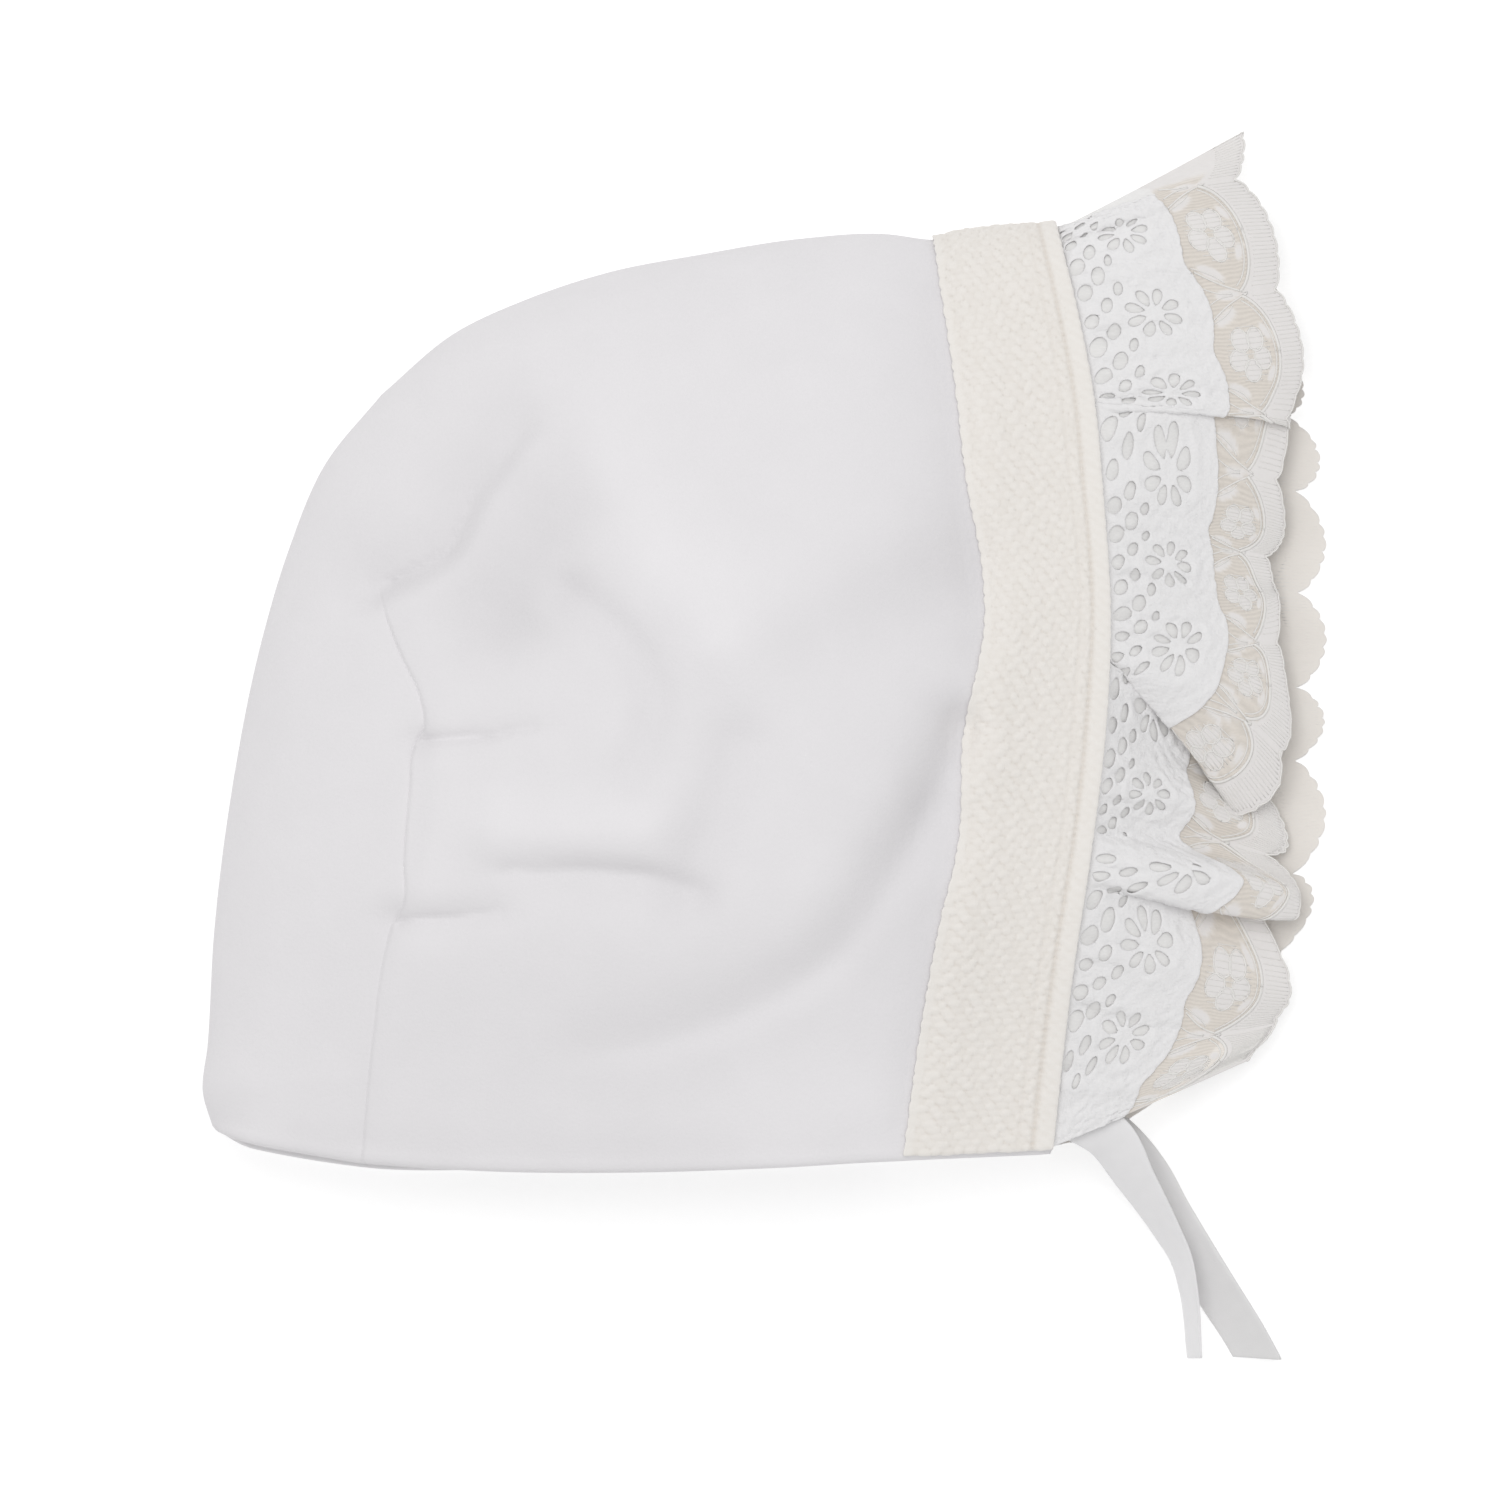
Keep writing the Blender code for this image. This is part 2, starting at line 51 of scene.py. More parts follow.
# Form of the crown: heights above the table, and how far in from the fold each rounding reaches
FOLD_HEIGHT = 7.0
SHOULDER_HEIGHT = 10.0
SHOULDER_REACH = 12.0
UNDERSIDE_REACH = 7.0
DOME_HEIGHT = 24.0
DOME_REACH = 75.0
RIM_SAG = 0.60
RIM_SAG_REACH = 48.0
FOLDS_START = 8.0
BAND_LIFT = 0.1
BAND_ROOM = BAND_WALL + GAP + BAND_LIFT
BAND_SINK = 0.8
BAND_RAMP = 6.0
HEM_SHOWS = 1.1
HEM_SHOWS_FROM = 27.0
HEM_SHOWS_TO = 55.0
HEM_SHARE = 0.08

# Outline of the crown, each row an (x, y) point
TOP_FOLD = ((143.9, 158.5), (136, 157.9), (124, 156.9), (115.8, 157.9), (101.3, 157.1),
            (84.3, 154.4), (69.2, 151.5), (55.1, 146.9), (42.7, 141.1), (30.3, 130.7))
BACK_FOLD = ((30.3, 130.7), (20.7, 118.8), (14.5, 104.2), (10, 89.1), (5.1, 64.8),
             (1.9, 39.5), (0.8, 20.4), (0, 12), (1.6, 6.6))
NECK_EDGE = ((1.6, 6.6), (11, 4.4), (26.4, 1.9), (46.2, 0.5), (73.1, 0.2), (96, 0.9),
             (118.8, 2.1), (143.1, 3.2))
FACE_EDGE = ((143.1, 3.2), (144.5, 16.8), (146.5, 33.5), (149.3, 52.2), (151.9, 74),
             (152.7, 94), (151.6, 112), (149.8, 131), (146.9, 146), (143.9, 158.5))
BAND_EDGE = ((118.8, 2.1), (121.9, 25), (124.8, 41), (127.9, 54), (129.3, 75),
             (132.6, 94), (132, 103), (129.7, 114), (127.6, 132), (124, 156.9))
# Seam between the side and the back panel; above the upper pleat it is hidden
PANEL_SEAM = ((27.2, 1.9), (29.2, 22.3), (31.5, 37.4), (32.6, 41.3), (34, 43.4), (34.5, 52.5),
              (35.4, 63.4), (36.4, 71.6), (37.7, 73.6), (37.2, 79.2), (34, 86.2), (31.8, 91.6),
              (30.2, 97.9), (31, 108), (35, 119), (41.5, 131), (49, 144.2))
SEAM_SHOWS_TO = 0.68

# Soft folds of the near side. Columns: name, (x, y) points of the path, how high the fold stands
# at the path's start and end, where minus sinks in, and how wide it is left and right of the path
FOLDS = (
    ("upper_pleat", ((30.3, 97.4), (42.2, 104.2), (46.5, 113), (53, 122.5)), -3.2, -2.6, 10, 2.5),
    ("dimple", ((51, 94), (53.5, 100.5), (58, 110.5)), -5.6, -3.8, 10, 9),
    ("bright_mound", ((68, 126), (73, 111), (80.5, 99), (88, 90)), 1.7, 3.2, 13, 7),
    ("curved_crease", ((62.5, 97), (68.5, 92), (74, 86), (76.7, 79.5), (76, 73), (72.8, 66)),
     -2.6, -1.2, 3.5, 4),
    ("middle_pleat", ((36.6, 71.4), (47, 72.2), (57.3, 74.3)), -1.4, -0.4, 3, 3),
    ("lower_pleat", ((32.3, 42), (42, 42.2), (50.5, 43.9)), -1.4, -1.0, 3, 4),
    ("side_bulge", ((51, 56.8), (62, 56.8), (75, 57.2)), 2.0, 1.8, 6, 4.5),
    ("side_crease", ((50, 49.5), (64, 49.8), (76, 48.6), (82, 46.5)), -0.8, -2.8, 2.5, 7),
    ("short_crease", ((91, 71), (88, 60), (84, 50)), -1.8, -2.2, 5, 5),
    ("jaw_valley", ((66.5, 20), (83.5, 23.6), (93.7, 27.9), (107.3, 36.8), (115, 47.5),
                    (122.5, 60.5), (128.5, 74)), -0.9, -3.8, 5.5, 3.4),
    ("cheek_hollow", ((114, 34), (119.5, 46), (125, 58)), -0.9, -2.3, 6, 6),
    ("ear_hollow", ((102, 88), (116, 94), (129, 101)), -1.8, -3.0, 9, 8),
    ("band_hollow", ((124, 150), (127, 130), (129, 113), (131.5, 90)), -1.2, -1.4, 3, 8),
    ("band_foot", ((118, 8), (121, 25), (124, 42)), -0.5, -0.5, 6, 3),
    ("foot_mound", ((100, 4), (114, 8)), 2.4, 2.8, 15, 15),
    ("neck_hem", ((18, 2.6), (46, 0.6), (73, 0.2), (96, 0.8), (112, 1.6)), -1.3, -1.0, 5, 5),
    ("panel_seam", ((27.5, 5), (31.5, 37.4), (35.2, 48), (37.5, 74), (30.3, 97.4)),
     -0.5, -0.5, 2.4, 2.4),
    ("panel_edge", ((33, 30), (38.5, 50), (40.5, 72)), 0.4, 1.0, 3, 5),
)
# Sharp creases. Columns: name, path, depth at the path's start and end, width, and how far the
# cloth on the path's left stands above the cloth on its right, easing out over STEP_REACH
CREASES = (
    ("upper_pleat", ((30.2, 97.9), (34, 99.8), (38.8, 102.2), (42.1, 104.1), (44, 108.5),
                     (45.6, 112.2), (47.4, 116), (48.6, 119.7)), 1.5, 0.4, 0.8, 0.0),
    ("middle_pleat", ((36.6, 72.2), (40.5, 72.1), (44.8, 72.5), (50.2, 72.7), (52.4, 73.4),
                      (57.8, 74)), 2.0, 0.7, 0.8, -0.4),
    ("lower_pleat", ((32.6, 41.5), (37.2, 42), (42.1, 42.2), (46.4, 42.8), (51.9, 43.7)),
     1.5, 0.5, 0.8, 0.3),
    ("side_crease", ((49.6, 49.3), (52.4, 50.6), (57.8, 49.9), (63.8, 50.5), (70.8, 49.9),
                     (77.4, 49.6)), 0.4, 0.4, 1.2, 0.3),
)
STEP_REACH = 5.0
STEP_SHARPNESS = 0.5
# Depth of the panel seam, fainter on its lowest stretch, and how far its one side stands up
SEAM_DEPTH = 0.45
SEAM_FAINT = 0.22
SEAM_FAINT_BELOW = 0.27
SEAM_WIDTH = 0.38
SEAM_STEP = 0.40
SEAM_STEP_REACH = 4.0
# Easing of the creases at their ends, from a small start, and of the seam at its upper end and
# above its faint stretch: 12 means over a twelfth of the length
CREASE_EASE = 12.0
CREASE_START = 0.15
SEAM_EASE = 14.0
SEAM_FAINT_EASE = 20.0
# Painted shade and light on the fleece: how much paler it is painted for each millimetre that a
# fold stands up, and darker for each that it sinks in, and over which height this sets in above the
# folded edge
FOLD_SHADE_TONE = 0.034
FOLD_SHADE_RISE = 8.0

# Ruffles. The lace is measured in flat repeats of the cotton lace, numbered from the first whole
# wheel on the near side, and in shares of the net ruffle's width out from the seam
REPEAT = 14.5
NET_WIDTH = 38.0
FIRST_REPEAT = -13.2
TOP_REPEAT = -1.2
LAST_REPEAT = 11.2
# Outer edge of the far half, from the neck corner to the top fold.
# Columns: share of the rim's length, x, y, z
FAR_EDGE = np.array((
    (0.000, 173, 20.5, 0.2), (0.050, 182.5, 32, 0.2), (0.110, 189.6, 47, 0.2),
    (0.200, 190.4, 71, 0.2), (0.290, 190.8, 97, 0.2), (0.380, 189.4, 122, 0.3),
    (0.440, 184, 143, 1), (0.485, 177, 169.5, 4), (0.502, 176.6, 175.6, 8),
    (0.525, 177.2, 169, 12),
))
# How far the net springs straight out of the seam, as a share of its width
NET_SPRING = 0.38
# How far the top fold of the net is pulled straight towards its tip, halfway out
TOP_STRETCH = 3.1
TOP_STRETCH_LENGTH = 0.05
NET_GATHERS = 15
FAR_GATHER_DEPTH = 0.5
FAR_DROP_START = 0.52
FAR_DROP_LENGTH = 0.33
# Heights y of the notches between the far half's scallops, from the neck to the top
FAR_NOTCHES = (8, 21, 35.2, 50.8, 69.2, 81.3, 96.9, 114.1, 126.8, 141, 156, 168)
FAR_EDGE_TOP = 175.8
# Lines across the near half, from the top fold to the neck corner, where the second of a pair
# turns back under the first. Columns: repeat, y at the seam, then x, y and z halfway out, then
# x, y and z at the edge
NEAR_LINES = (
    (-0.6, 157.3, 161.8, 165.0, 14.5, 178.0, 168.6, 7.9),
    (0.0, 155.0, 164.0, 159.6, 14.8, 180.6, 161.5, 7.9),
    (1.0, 142.6, 170.0, 145.4, 14.5, 184.8, 147.4, 7.5),
    (2.0, 129.9, 173.1, 131.2, 14.5, 186.6, 131.6, 6.8),
    (2.4, 128.2, 173.3, 127.1, 14.9, 184.8, 124.8, 6.6),
    (2.6, 125.4, 171.6, 129.0, 13.8, 184.6, 127.3, 5.6),
    (3.0, 117.5, 171.4, 116.5, 13.5, 184.3, 113.7, 5.2),
    (4.0, 102.3, 170.7, 101.3, 13.0, 181.9, 99.8, 4.9),
    (5.0, 89.9, 172.7, 86.5, 14.0, 183.8, 84.0, 5.6),
    (5.3, 87.2, 170.0, 78.5, 16.5, 184.2, 64.5, 7.1),
    (5.5, 86.0, 164.6, 73.8, 16.0, 175.6, 58.8, 6.9),
    (5.8, 84.8, 167.0, 77.5, 13.4, 179.9, 67.0, 3.9),
    (6.2, 77.5, 167.0, 70.2, 10.5, 182.4, 62.0, 2.7),
    (7.0, 64.4, 167.5, 60.9, 13.0, 184.6, 53.4, 3.2),
    (7.65, 57.0, 167.0, 53.8, 12.0, 185.0, 49.6, 3.8),
    (8.1, 51.6, 175.6, 47.8, 15.0, 186.2, 44.8, 6.8),
    (8.4, 49.5, 170.5, 43.0, 15.4, 185.4, 41.6, 7.2),
    (8.6, 46.2, 167.5, 45.0, 13.0, 181.0, 44.0, 4.1),
    (9.0, 39.4, 168.6, 36.2, 13.5, 184.2, 33.4, 4.9),
    (10.0, 25.3, 163.9, 20.8, 13.5, 181.8, 23.2, 5.6),
    (10.8, 9.0, 157.4, 10.6, 15.5, 178.4, 19.2, 6.4),
    (11.2, 3.2, 155.7, 8.3, 15.8, 177.5, 17.7, 6.0),
)
# Repeats at the notches between the near half's scallops, after one behind the top fold
NEAR_NOTCHES = (-1.9, -0.5, 0.9, 2.25, 2.95, 3.75, 4.9, 5.25, 5.6, 6.1, 7.4, 8.55, 9.9, 11, 12.2)
NET_NOTCH = 0.11
NOTCH_SHARPNESS = 0.6
PICOT = 0.016
PICOTS_EACH = 7
# Where the near half's edge is turned under, and over how long a stretch, in repeats
TURNED_UNDER = 9.5
TURNS_OVER = 0.4
# Small gathers of the near half. Columns: waves each repeat, height and start
GATHERS = ((2.3, 0.32, 0.4), (3.7, 0.22, 1.9), (5.3, 0.14, 4.1))
GATHER_START = 0.08
GATHER_FADE = 0.35
EDGE_WAVE = 0.55
EDGE_WAVES = 0.8
# Repeats over which the waves set in at the top fold and die out at the neck corner
WAVES_IN = 0.6
WAVES_OUT = 0.4

# Grids
ROUNDING_LINES = (0.0, 0.35, 0.9, 1.8, 3.0, 4.5, 6.4, 8.6)
COLUMN_LENGTH = 157.0
CURVE_SAMPLES = 160
FOLD_SAMPLES = 30
RIM_SAMPLES = 600
CHUNK = 6000


def mix(low, high, share):
    """The value at this share of the way from low to high."""
    return low + (high - low) * share


def ease(value):
    """Rise smoothly from 0 to 1 as the value goes from 0 to 1."""
    t = np.clip(value, 0.0, 1.0)
    return t * t * (3.0 - 2.0 * t)


def bell(distance, width):
    """1 in the middle, fading away over about this width."""
    return np.exp(-(distance / width) ** 2)


def quarter_round(value):
    """Height of a quarter circle: upright at 0, level from 1 on."""
    return np.sqrt(1.0 - (1.0 - np.clip(value, 0.0, 1.0)) ** 2)


def unit(vectors):
    """The vectors, each made 1 long."""
    return vectors / np.maximum(np.linalg.norm(vectors, axis=-1), 1e-12)[..., None]


def hermite(knots, rows, at):
    """Values of a smooth curve that passes through each row at its knot."""
    at = np.asarray(at, dtype=float)
    slopes = np.gradient(rows, knots, axis=0)
    piece = np.clip(np.searchsorted(knots, at, side="right") - 1, 0, len(knots) - 2)
    span = np.diff(knots)[piece][..., None]
    t = (at - knots[piece])[..., None] / span
    return ((2 * t ** 3 - 3 * t ** 2 + 1) * rows[piece]
            + (t ** 3 - 2 * t ** 2 + t) * span * slopes[piece]
            + (3 * t ** 2 - 2 * t ** 3) * rows[piece + 1]
            + (t ** 3 - t ** 2) * span * slopes[piece + 1])


def look_up(at, knots, rows):
    """A table's rows at these places between its knots, on straight lines."""
    return np.stack([np.interp(at, knots, column) for column in rows.T], axis=-1)


def running_length(points):
    """Length along a polyline at each of its points."""
    steps = np.linalg.norm(np.diff(points, axis=0), axis=1)
    return np.concatenate(([0.0], np.cumsum(steps)))


def smooth_curve(rows, samples=CURVE_SAMPLES):
    """Evenly spaced points of a smooth curve that passes through each row."""
    rows = np.array(rows, dtype=float)
    knots = running_length(rows)
    fine = hermite(knots, rows, np.linspace(0.0, knots[-1], samples * 4))
    length = running_length(fine)
    return look_up(np.linspace(0.0, length[-1], samples), length, fine)


def along(curve, share):
    """Points at these shares of an evenly spaced curve's length."""
    return look_up(np.asarray(share) * (len(curve) - 1), np.arange(len(curve)), curve)


def nearest(curve, x, y):
    """Distance to a curve, share of its length at the nearest point, and how far to its left a
    point lies, from -1 square on the right to 1 square on the left."""
    x = np.asarray(x, dtype=float)
    y = np.asarray(y, dtype=float)
    start = curve[:-1]
    step = curve[1:] - start
    squares = (step ** 2).sum(axis=1)
    distance, share, lean = np.empty((3, x.size))
    for first in range(0, x.size, CHUNK):
        part = slice(first, first + CHUNK)
        from_x = x.ravel()[part, None] - start[:, 0]
        from_y = y.ravel()[part, None] - start[:, 1]
        t = np.clip((from_x * step[:, 0] + from_y * step[:, 1]) / squares, 0.0, 1.0)
        squared = (from_x - t * step[:, 0]) ** 2 + (from_y - t * step[:, 1]) ** 2
        pick = np.argmin(squared, axis=1)
        rows = np.arange(len(pick))
        turn = step[pick, 0] * from_y[rows, pick] - step[pick, 1] * from_x[rows, pick]
        distance[part] = np.sqrt(squared[rows, pick])
        share[part] = (pick + t[rows, pick]) / len(step)
        lean[part] = turn / np.maximum(np.sqrt(squares[pick]) * distance[part], 1e-9)
    return (distance.reshape(x.shape), share.reshape(x.shape),
            np.clip(lean, -1.0, 1.0).reshape(x.shape))


TOP, BACK, NECK, FACE, BAND = (smooth_curve(rows) for rows in
                               (TOP_FOLD, BACK_FOLD, NECK_EDGE, FACE_EDGE, BAND_EDGE))
WHOLE_FOLD = np.concatenate((TOP, BACK[1:]))
BAND_ON_TOP = float(nearest(TOP, *BAND[-1])[1])
BAND_ON_NECK = float(nearest(NECK, *BAND[0])[1])
SEAM_ON_TOP = float(nearest(TOP, *PANEL_SEAM[-1])[1])
SEAM_ON_NECK = float(nearest(NECK, *PANEL_SEAM[0])[1])
SEAM = smooth_curve((along(NECK, SEAM_ON_NECK), *PANEL_SEAM[1:-1], along(TOP, SEAM_ON_TOP)))

# Grounds of the crown, from the neck edge up to the top fold. Columns: front and back curve, then
# where the two meet the neck edge, and where they meet the top fold, in shares of its length
BAND_GROUND = (FACE, BAND, (1.0, BAND_ON_NECK), (0.0, BAND_ON_TOP))
SIDE_GROUND = (BAND, SEAM, (BAND_ON_NECK, SEAM_ON_NECK), (BAND_ON_TOP, SEAM_ON_TOP))
BACK_GROUND = (SEAM, BACK[::-1], (SEAM_ON_NECK, 0.0), (SEAM_ON_TOP, 1.0))


def ground_points(ground, share_back, share_up):
    """Flat points of a ground, at shares of the way back and of the way up."""
    front, back, on_neck, on_top = ground
    b = share_back[..., None]
    u = share_up[..., None]
    sides = mix(along(front, share_up), along(back, share_up), b)
    ends = mix(along(NECK, mix(*on_neck, share_back)), along(TOP, mix(*on_top, share_back)), u)
    corners = mix(mix(front[0], back[0], b), mix(front[-1], back[-1], b), u)
    return sides + ends - corners


def under_band(x, y):
    """1 under the knit band, easing to 0 behind it."""
    distance, _, lean = nearest(BAND, x, y)
    return np.where(lean > 0.0, ease(1.0 - distance / BAND_RAMP), 1.0)


def folds_height(x, y):
    """How far the soft folds of the near side raise or sink it."""
    height = np.zeros_like(x)
    for _, path, start, end, left, right in FOLDS:
        distance, share, lean = nearest(smooth_curve(path, FOLD_SAMPLES), x, y)
        width = mix(right, left, (1.0 + lean) / 2.0)
        height += mix(start, end, share) * bell(distance, width)
    return height


def creases_height(x, y):
    """How far the sharp creases and the panel seam raise or sink the near side."""
    height = np.zeros_like(x)
    for _, path, start, end, width, step in CREASES:
        distance, share, lean = nearest(smooth_curve(path, FOLD_SAMPLES), x, y)
        ends = ease(np.minimum(share, 1.0 - share) * CREASE_EASE + CREASE_START)
        height -= mix(start, end, share) * np.exp(-distance / width) * ends
        side = 0.5 * lean * np.tanh(distance / STEP_SHARPNESS)
        height += step * side * np.exp(-distance / STEP_REACH) * ends
    distance, share, lean = nearest(SEAM, x, y)
    shows = ease((SEAM_SHOWS_TO - share) * SEAM_EASE)
    full = ease((share - SEAM_FAINT_BELOW) * SEAM_FAINT_EASE)
    depth = mix(SEAM_FAINT, SEAM_DEPTH, full)
    height -= depth * np.exp(-distance / SEAM_WIDTH) * shows
    raised = (1.0 - lean) / 2.0 * np.tanh(distance / SEAM_WIDTH)
    return height + SEAM_STEP * raised * np.exp(-distance / SEAM_STEP_REACH) * shows


def near_height(x, y):
    """Height of the near side above the table."""
    inset = nearest(WHOLE_FOLD, x, y)[0]
    dome = 1.0 - (1.0 - np.clip(inset / DOME_REACH, 0.0, 1.0)) ** 2
    for edge in (FACE, NECK):
        dome *= 1.0 - RIM_SAG * (1.0 - ease(nearest(edge, x, y)[0] / RIM_SAG_REACH))
    shoulder = SHOULDER_HEIGHT * quarter_round(inset / SHOULDER_REACH)
    dents = folds_height(x, y) + creases_height(x, y) - BAND_SINK * under_band(x, y)
    return FOLD_HEIGHT + shoulder + DOME_HEIGHT * dome + dents * ease(inset / FOLDS_START)


def far_height(x, y):
    """Height of the far side, which lies on the table and rises to leave the band its room."""
    inset = nearest(WHOLE_FOLD, x, y)[0]
    rounding = FOLD_HEIGHT * (1.0 - quarter_round(inset / UNDERSIDE_REACH))
    return rounding + BAND_ROOM * under_band(x, y) * ease(inset / UNDERSIDE_REACH)


def shell_points(ground, share_back, share_up, near):
    """Points of the crown's outer surface on the near or the far side."""
    x, y = np.moveaxis(ground_points(ground, share_back, share_up), -1, 0)
    height = np.empty_like(x)
    height[near] = near_height(x[near], y[near])
    height[~near] = far_height(x[~near], y[~near])
    inset = nearest(WHOLE_FOLD, x, y)[0]
    far_hem = HEM_SHOWS * ease(1.0 - share_up / HEM_SHARE) * ease(inset / UNDERSIDE_REACH)
    far_hem *= ease((HEM_SHOWS_TO - x) / (HEM_SHOWS_TO - HEM_SHOWS_FROM))
    return np.stack((x, np.where(near, y, y - far_hem), height), axis=-1)


def lines_from(crowded, even_steps, length):
    """Shares of a length at the grid lines: crowded at the start, then even to the far end."""
    first = np.array(crowded) / length
    return np.concatenate((first, np.linspace(first[-1], 1.0, even_steps + 1)[1:]))


def rim_frame():
    """Points along the crown's face rim, with the way forward and the way out of the bonnet."""
    # Squared, so that the samples crowd where the rim turns over the top fold
    dense = np.linspace(-1.0, 1.0, RIM_SAMPLES)
    turn = dense * np.abs(dense)
    near = turn > 0.0
    up = 1.0 - np.abs(turn)
    rim, behind = (shell_points(BAND_GROUND, np.full_like(up, share), up, near)
                   for share in (0.0, 0.25))
    length = running_length(rim)
    forward = unit(rim - behind)
    outward = unit(np.cross(np.gradient(rim, length, axis=0), forward))
    return length / length[-1], rim, forward, outward


RIM_SHARE, RIM, RIM_FORWARD, RIM_OUTWARD = rim_frame()
NEAR_RIM = RIM_SHARE >= 0.5


def on_rim(values, share):
    """Values of one of the rim's tables at these shares of its length."""
    return look_up(share, RIM_SHARE, values)


def seam_points(share):
    """Where the ruffles are sewn in, just in front of the crown's rim."""
    return on_rim(RIM, share) + GAP * on_rim(RIM_FORWARD, share) - GAP * on_rim(RIM_OUTWARD, share)


def far_lace(share, reach):
    """Points of the net ruffle's far half, which lies on the table, at shares of the rim."""
    w = reach[..., None]
    seam = seam_points(share)
    edge = hermite(FAR_EDGE[:, 0], FAR_EDGE[:, 1:], share)
    length = np.linalg.norm(edge - seam, axis=-1)[..., None]
    bend = seam + NET_SPRING * length * on_rim(RIM_FORWARD, share)
    points = (1 - w) ** 2 * seam + 2 * w * (1 - w) * bend + w ** 2 * edge
    on_table = mix(seam[..., 2], edge[..., 2], ease((reach - FAR_DROP_START) / FAR_DROP_LENGTH))
    on_table += FAR_GATHER_DEPTH * reach * (1.0 + np.sin(TURN * NET_GATHERS * share))
    points[..., 2] += ease(-on_rim(RIM_OUTWARD, share)[..., 2]) * (on_table - points[..., 2])
    stretched = bell(share - 0.5, TOP_STRETCH_LENGTH)
    halfway = 4.0 * reach * (1.0 - reach)
    points[..., 1] += TOP_STRETCH * halfway * stretched
    return points


TOP_LINE = (TOP_REPEAT, RIM[NEAR_RIM][0][1], *far_lace(np.full(2, 0.5), np.array((0.5, 1.0))).flat)
LINES = np.array((TOP_LINE, *NEAR_LINES))


def gathers(repeat, reach):
    """Height of the small gathers of the near half."""
    height = np.zeros_like(repeat)
    for waves, rise, start in GATHERS:
        height += rise * np.sin(TURN * waves * repeat + start) * np.exp(-reach / GATHER_FADE)
    height *= ease(reach / GATHER_START)
    height += EDGE_WAVE * reach * np.sin(TURN * EDGE_WAVES * repeat)
    height *= ease((repeat - TOP_REPEAT) / WAVES_IN)
    return height * ease((LAST_REPEAT - repeat) / WAVES_OUT)


def near_lace(repeat, reach):
    """Points of the net ruffle's near half, which stands up from the rim and folds."""
    values = hermite(LINES[:, 0], LINES[:, 1:], repeat)
    share = np.interp(-values[..., 0], -RIM[NEAR_RIM][:, 1], RIM_SHARE[NEAR_RIM])
    v = reach[..., None]
    points = ((1 - v) * (1 - 2 * v) * seam_points(share) + 4 * v * (1 - v) * values[..., 1:4]
              + v * (2 * v - 1) * values[..., 4:7])
    points[..., 2] += gathers(repeat, reach)
    return points


def far_share(repeat):
    """Share of the rim's length at a repeat of the far half."""
    return 0.5 * (repeat - FIRST_REPEAT) / (TOP_REPEAT - FIRST_REPEAT)


def lace_points(repeat, reach):
    """Points of the net ruffle all round, at flat repeats and shares of its width."""
    repeat, reach = np.broadcast_arrays(np.asarray(repeat, float), np.asarray(reach, float))
    far = repeat < TOP_REPEAT
    points = np.empty((*repeat.shape, 3))
    points[far] = far_lace(far_share(repeat[far]), reach[far])
    points[~far] = near_lace(repeat[~far], reach[~far])
    return points


def lace_normals(repeat, reach, step=0.01):
    """Way out of the bonnet at points of the ruffle."""
    low, high = (np.clip(repeat + s, FIRST_REPEAT, LAST_REPEAT) for s in (-step, step))
    round_slope = lace_points(high, reach) - lace_points(low, reach)
    out_slope = lace_points(repeat, reach + step) - lace_points(repeat, reach - step)
    return unit(np.cross(round_slope, out_slope))


def net_phase(repeat):
    """Number of the net's scallop at a repeat, whole at the notches between scallops."""
    near = np.interp(repeat, NEAR_NOTCHES, np.arange(len(NEAR_NOTCHES)))
    height = np.interp(far_share(repeat), FAR_EDGE[:, 0], FAR_EDGE[:, 2])
    numbers = np.arange(len(FAR_NOTCHES) + 1) - len(FAR_NOTCHES) + 1.0
    numbers[-1] = np.interp(TOP_REPEAT, NEAR_NOTCHES, np.arange(len(NEAR_NOTCHES)))
    far = np.interp(height, (*FAR_NOTCHES, FAR_EDGE_TOP), numbers)
    return np.where(repeat < TOP_REPEAT, far, near)


def net_edge(repeat):
    """Share of the net's width that its scalloped edge reaches."""
    phase = net_phase(repeat)
    sewn_in = 1.0 - ease((repeat - TURNED_UNDER) / TURNS_OVER)
    notch = 1.0 - np.abs(np.sin(math.pi * phase)) ** NOTCH_SHARPNESS
    uneven = 0.7 + 0.3 * np.sin(9.1 * np.floor(PICOTS_EACH * phase))
    picot = 1.0 - np.abs(np.sin(math.pi * PICOTS_EACH * phase))
    return 1.0 - NET_NOTCH * notch * sewn_in - PICOT * uneven * picot * (0.3 + 0.7 * sewn_in)


# Meshes

def to_row(points):
    """Turn table millimetres into metres of the row frame."""
    return (points - BOX_CENTRE) * MM


def add_object(name, data):
    """A new object in the scene."""
    added = bpy.data.objects.new(name, data)
    bpy.context.scene.collection.objects.link(added)
    return added


def make_mesh(name, points, faces, material, **values):
    """An object of points in millimetres and faces, which stores a number for each point."""
    mesh = bpy.data.meshes.new(name)
    mesh.from_pydata(to_row(points).tolist(), [], faces)
    mesh.validate()
    mesh.materials.append(material)
    mesh.shade_smooth()
    for label, numbers in values.items():
        layer = mesh.attributes.new(label, "FLOAT", "POINT")
        layer.data.foreach_set("value", np.ravel(numbers).astype(np.float32))
    return add_object(name, mesh)


def squares(index):
    """Four-cornered cells of a grid of point numbers."""
    return np.stack((index[:-1, :-1], index[1:, :-1], index[1:, 1:], index[:-1, 1:]), axis=-1)


def grid_faces(columns, rows):
    """Faces of a grid of points, whose normal is along the columns crossed with the rows."""
    return squares(np.arange(columns * rows).reshape(columns, rows)).reshape(-1, 4).tolist()


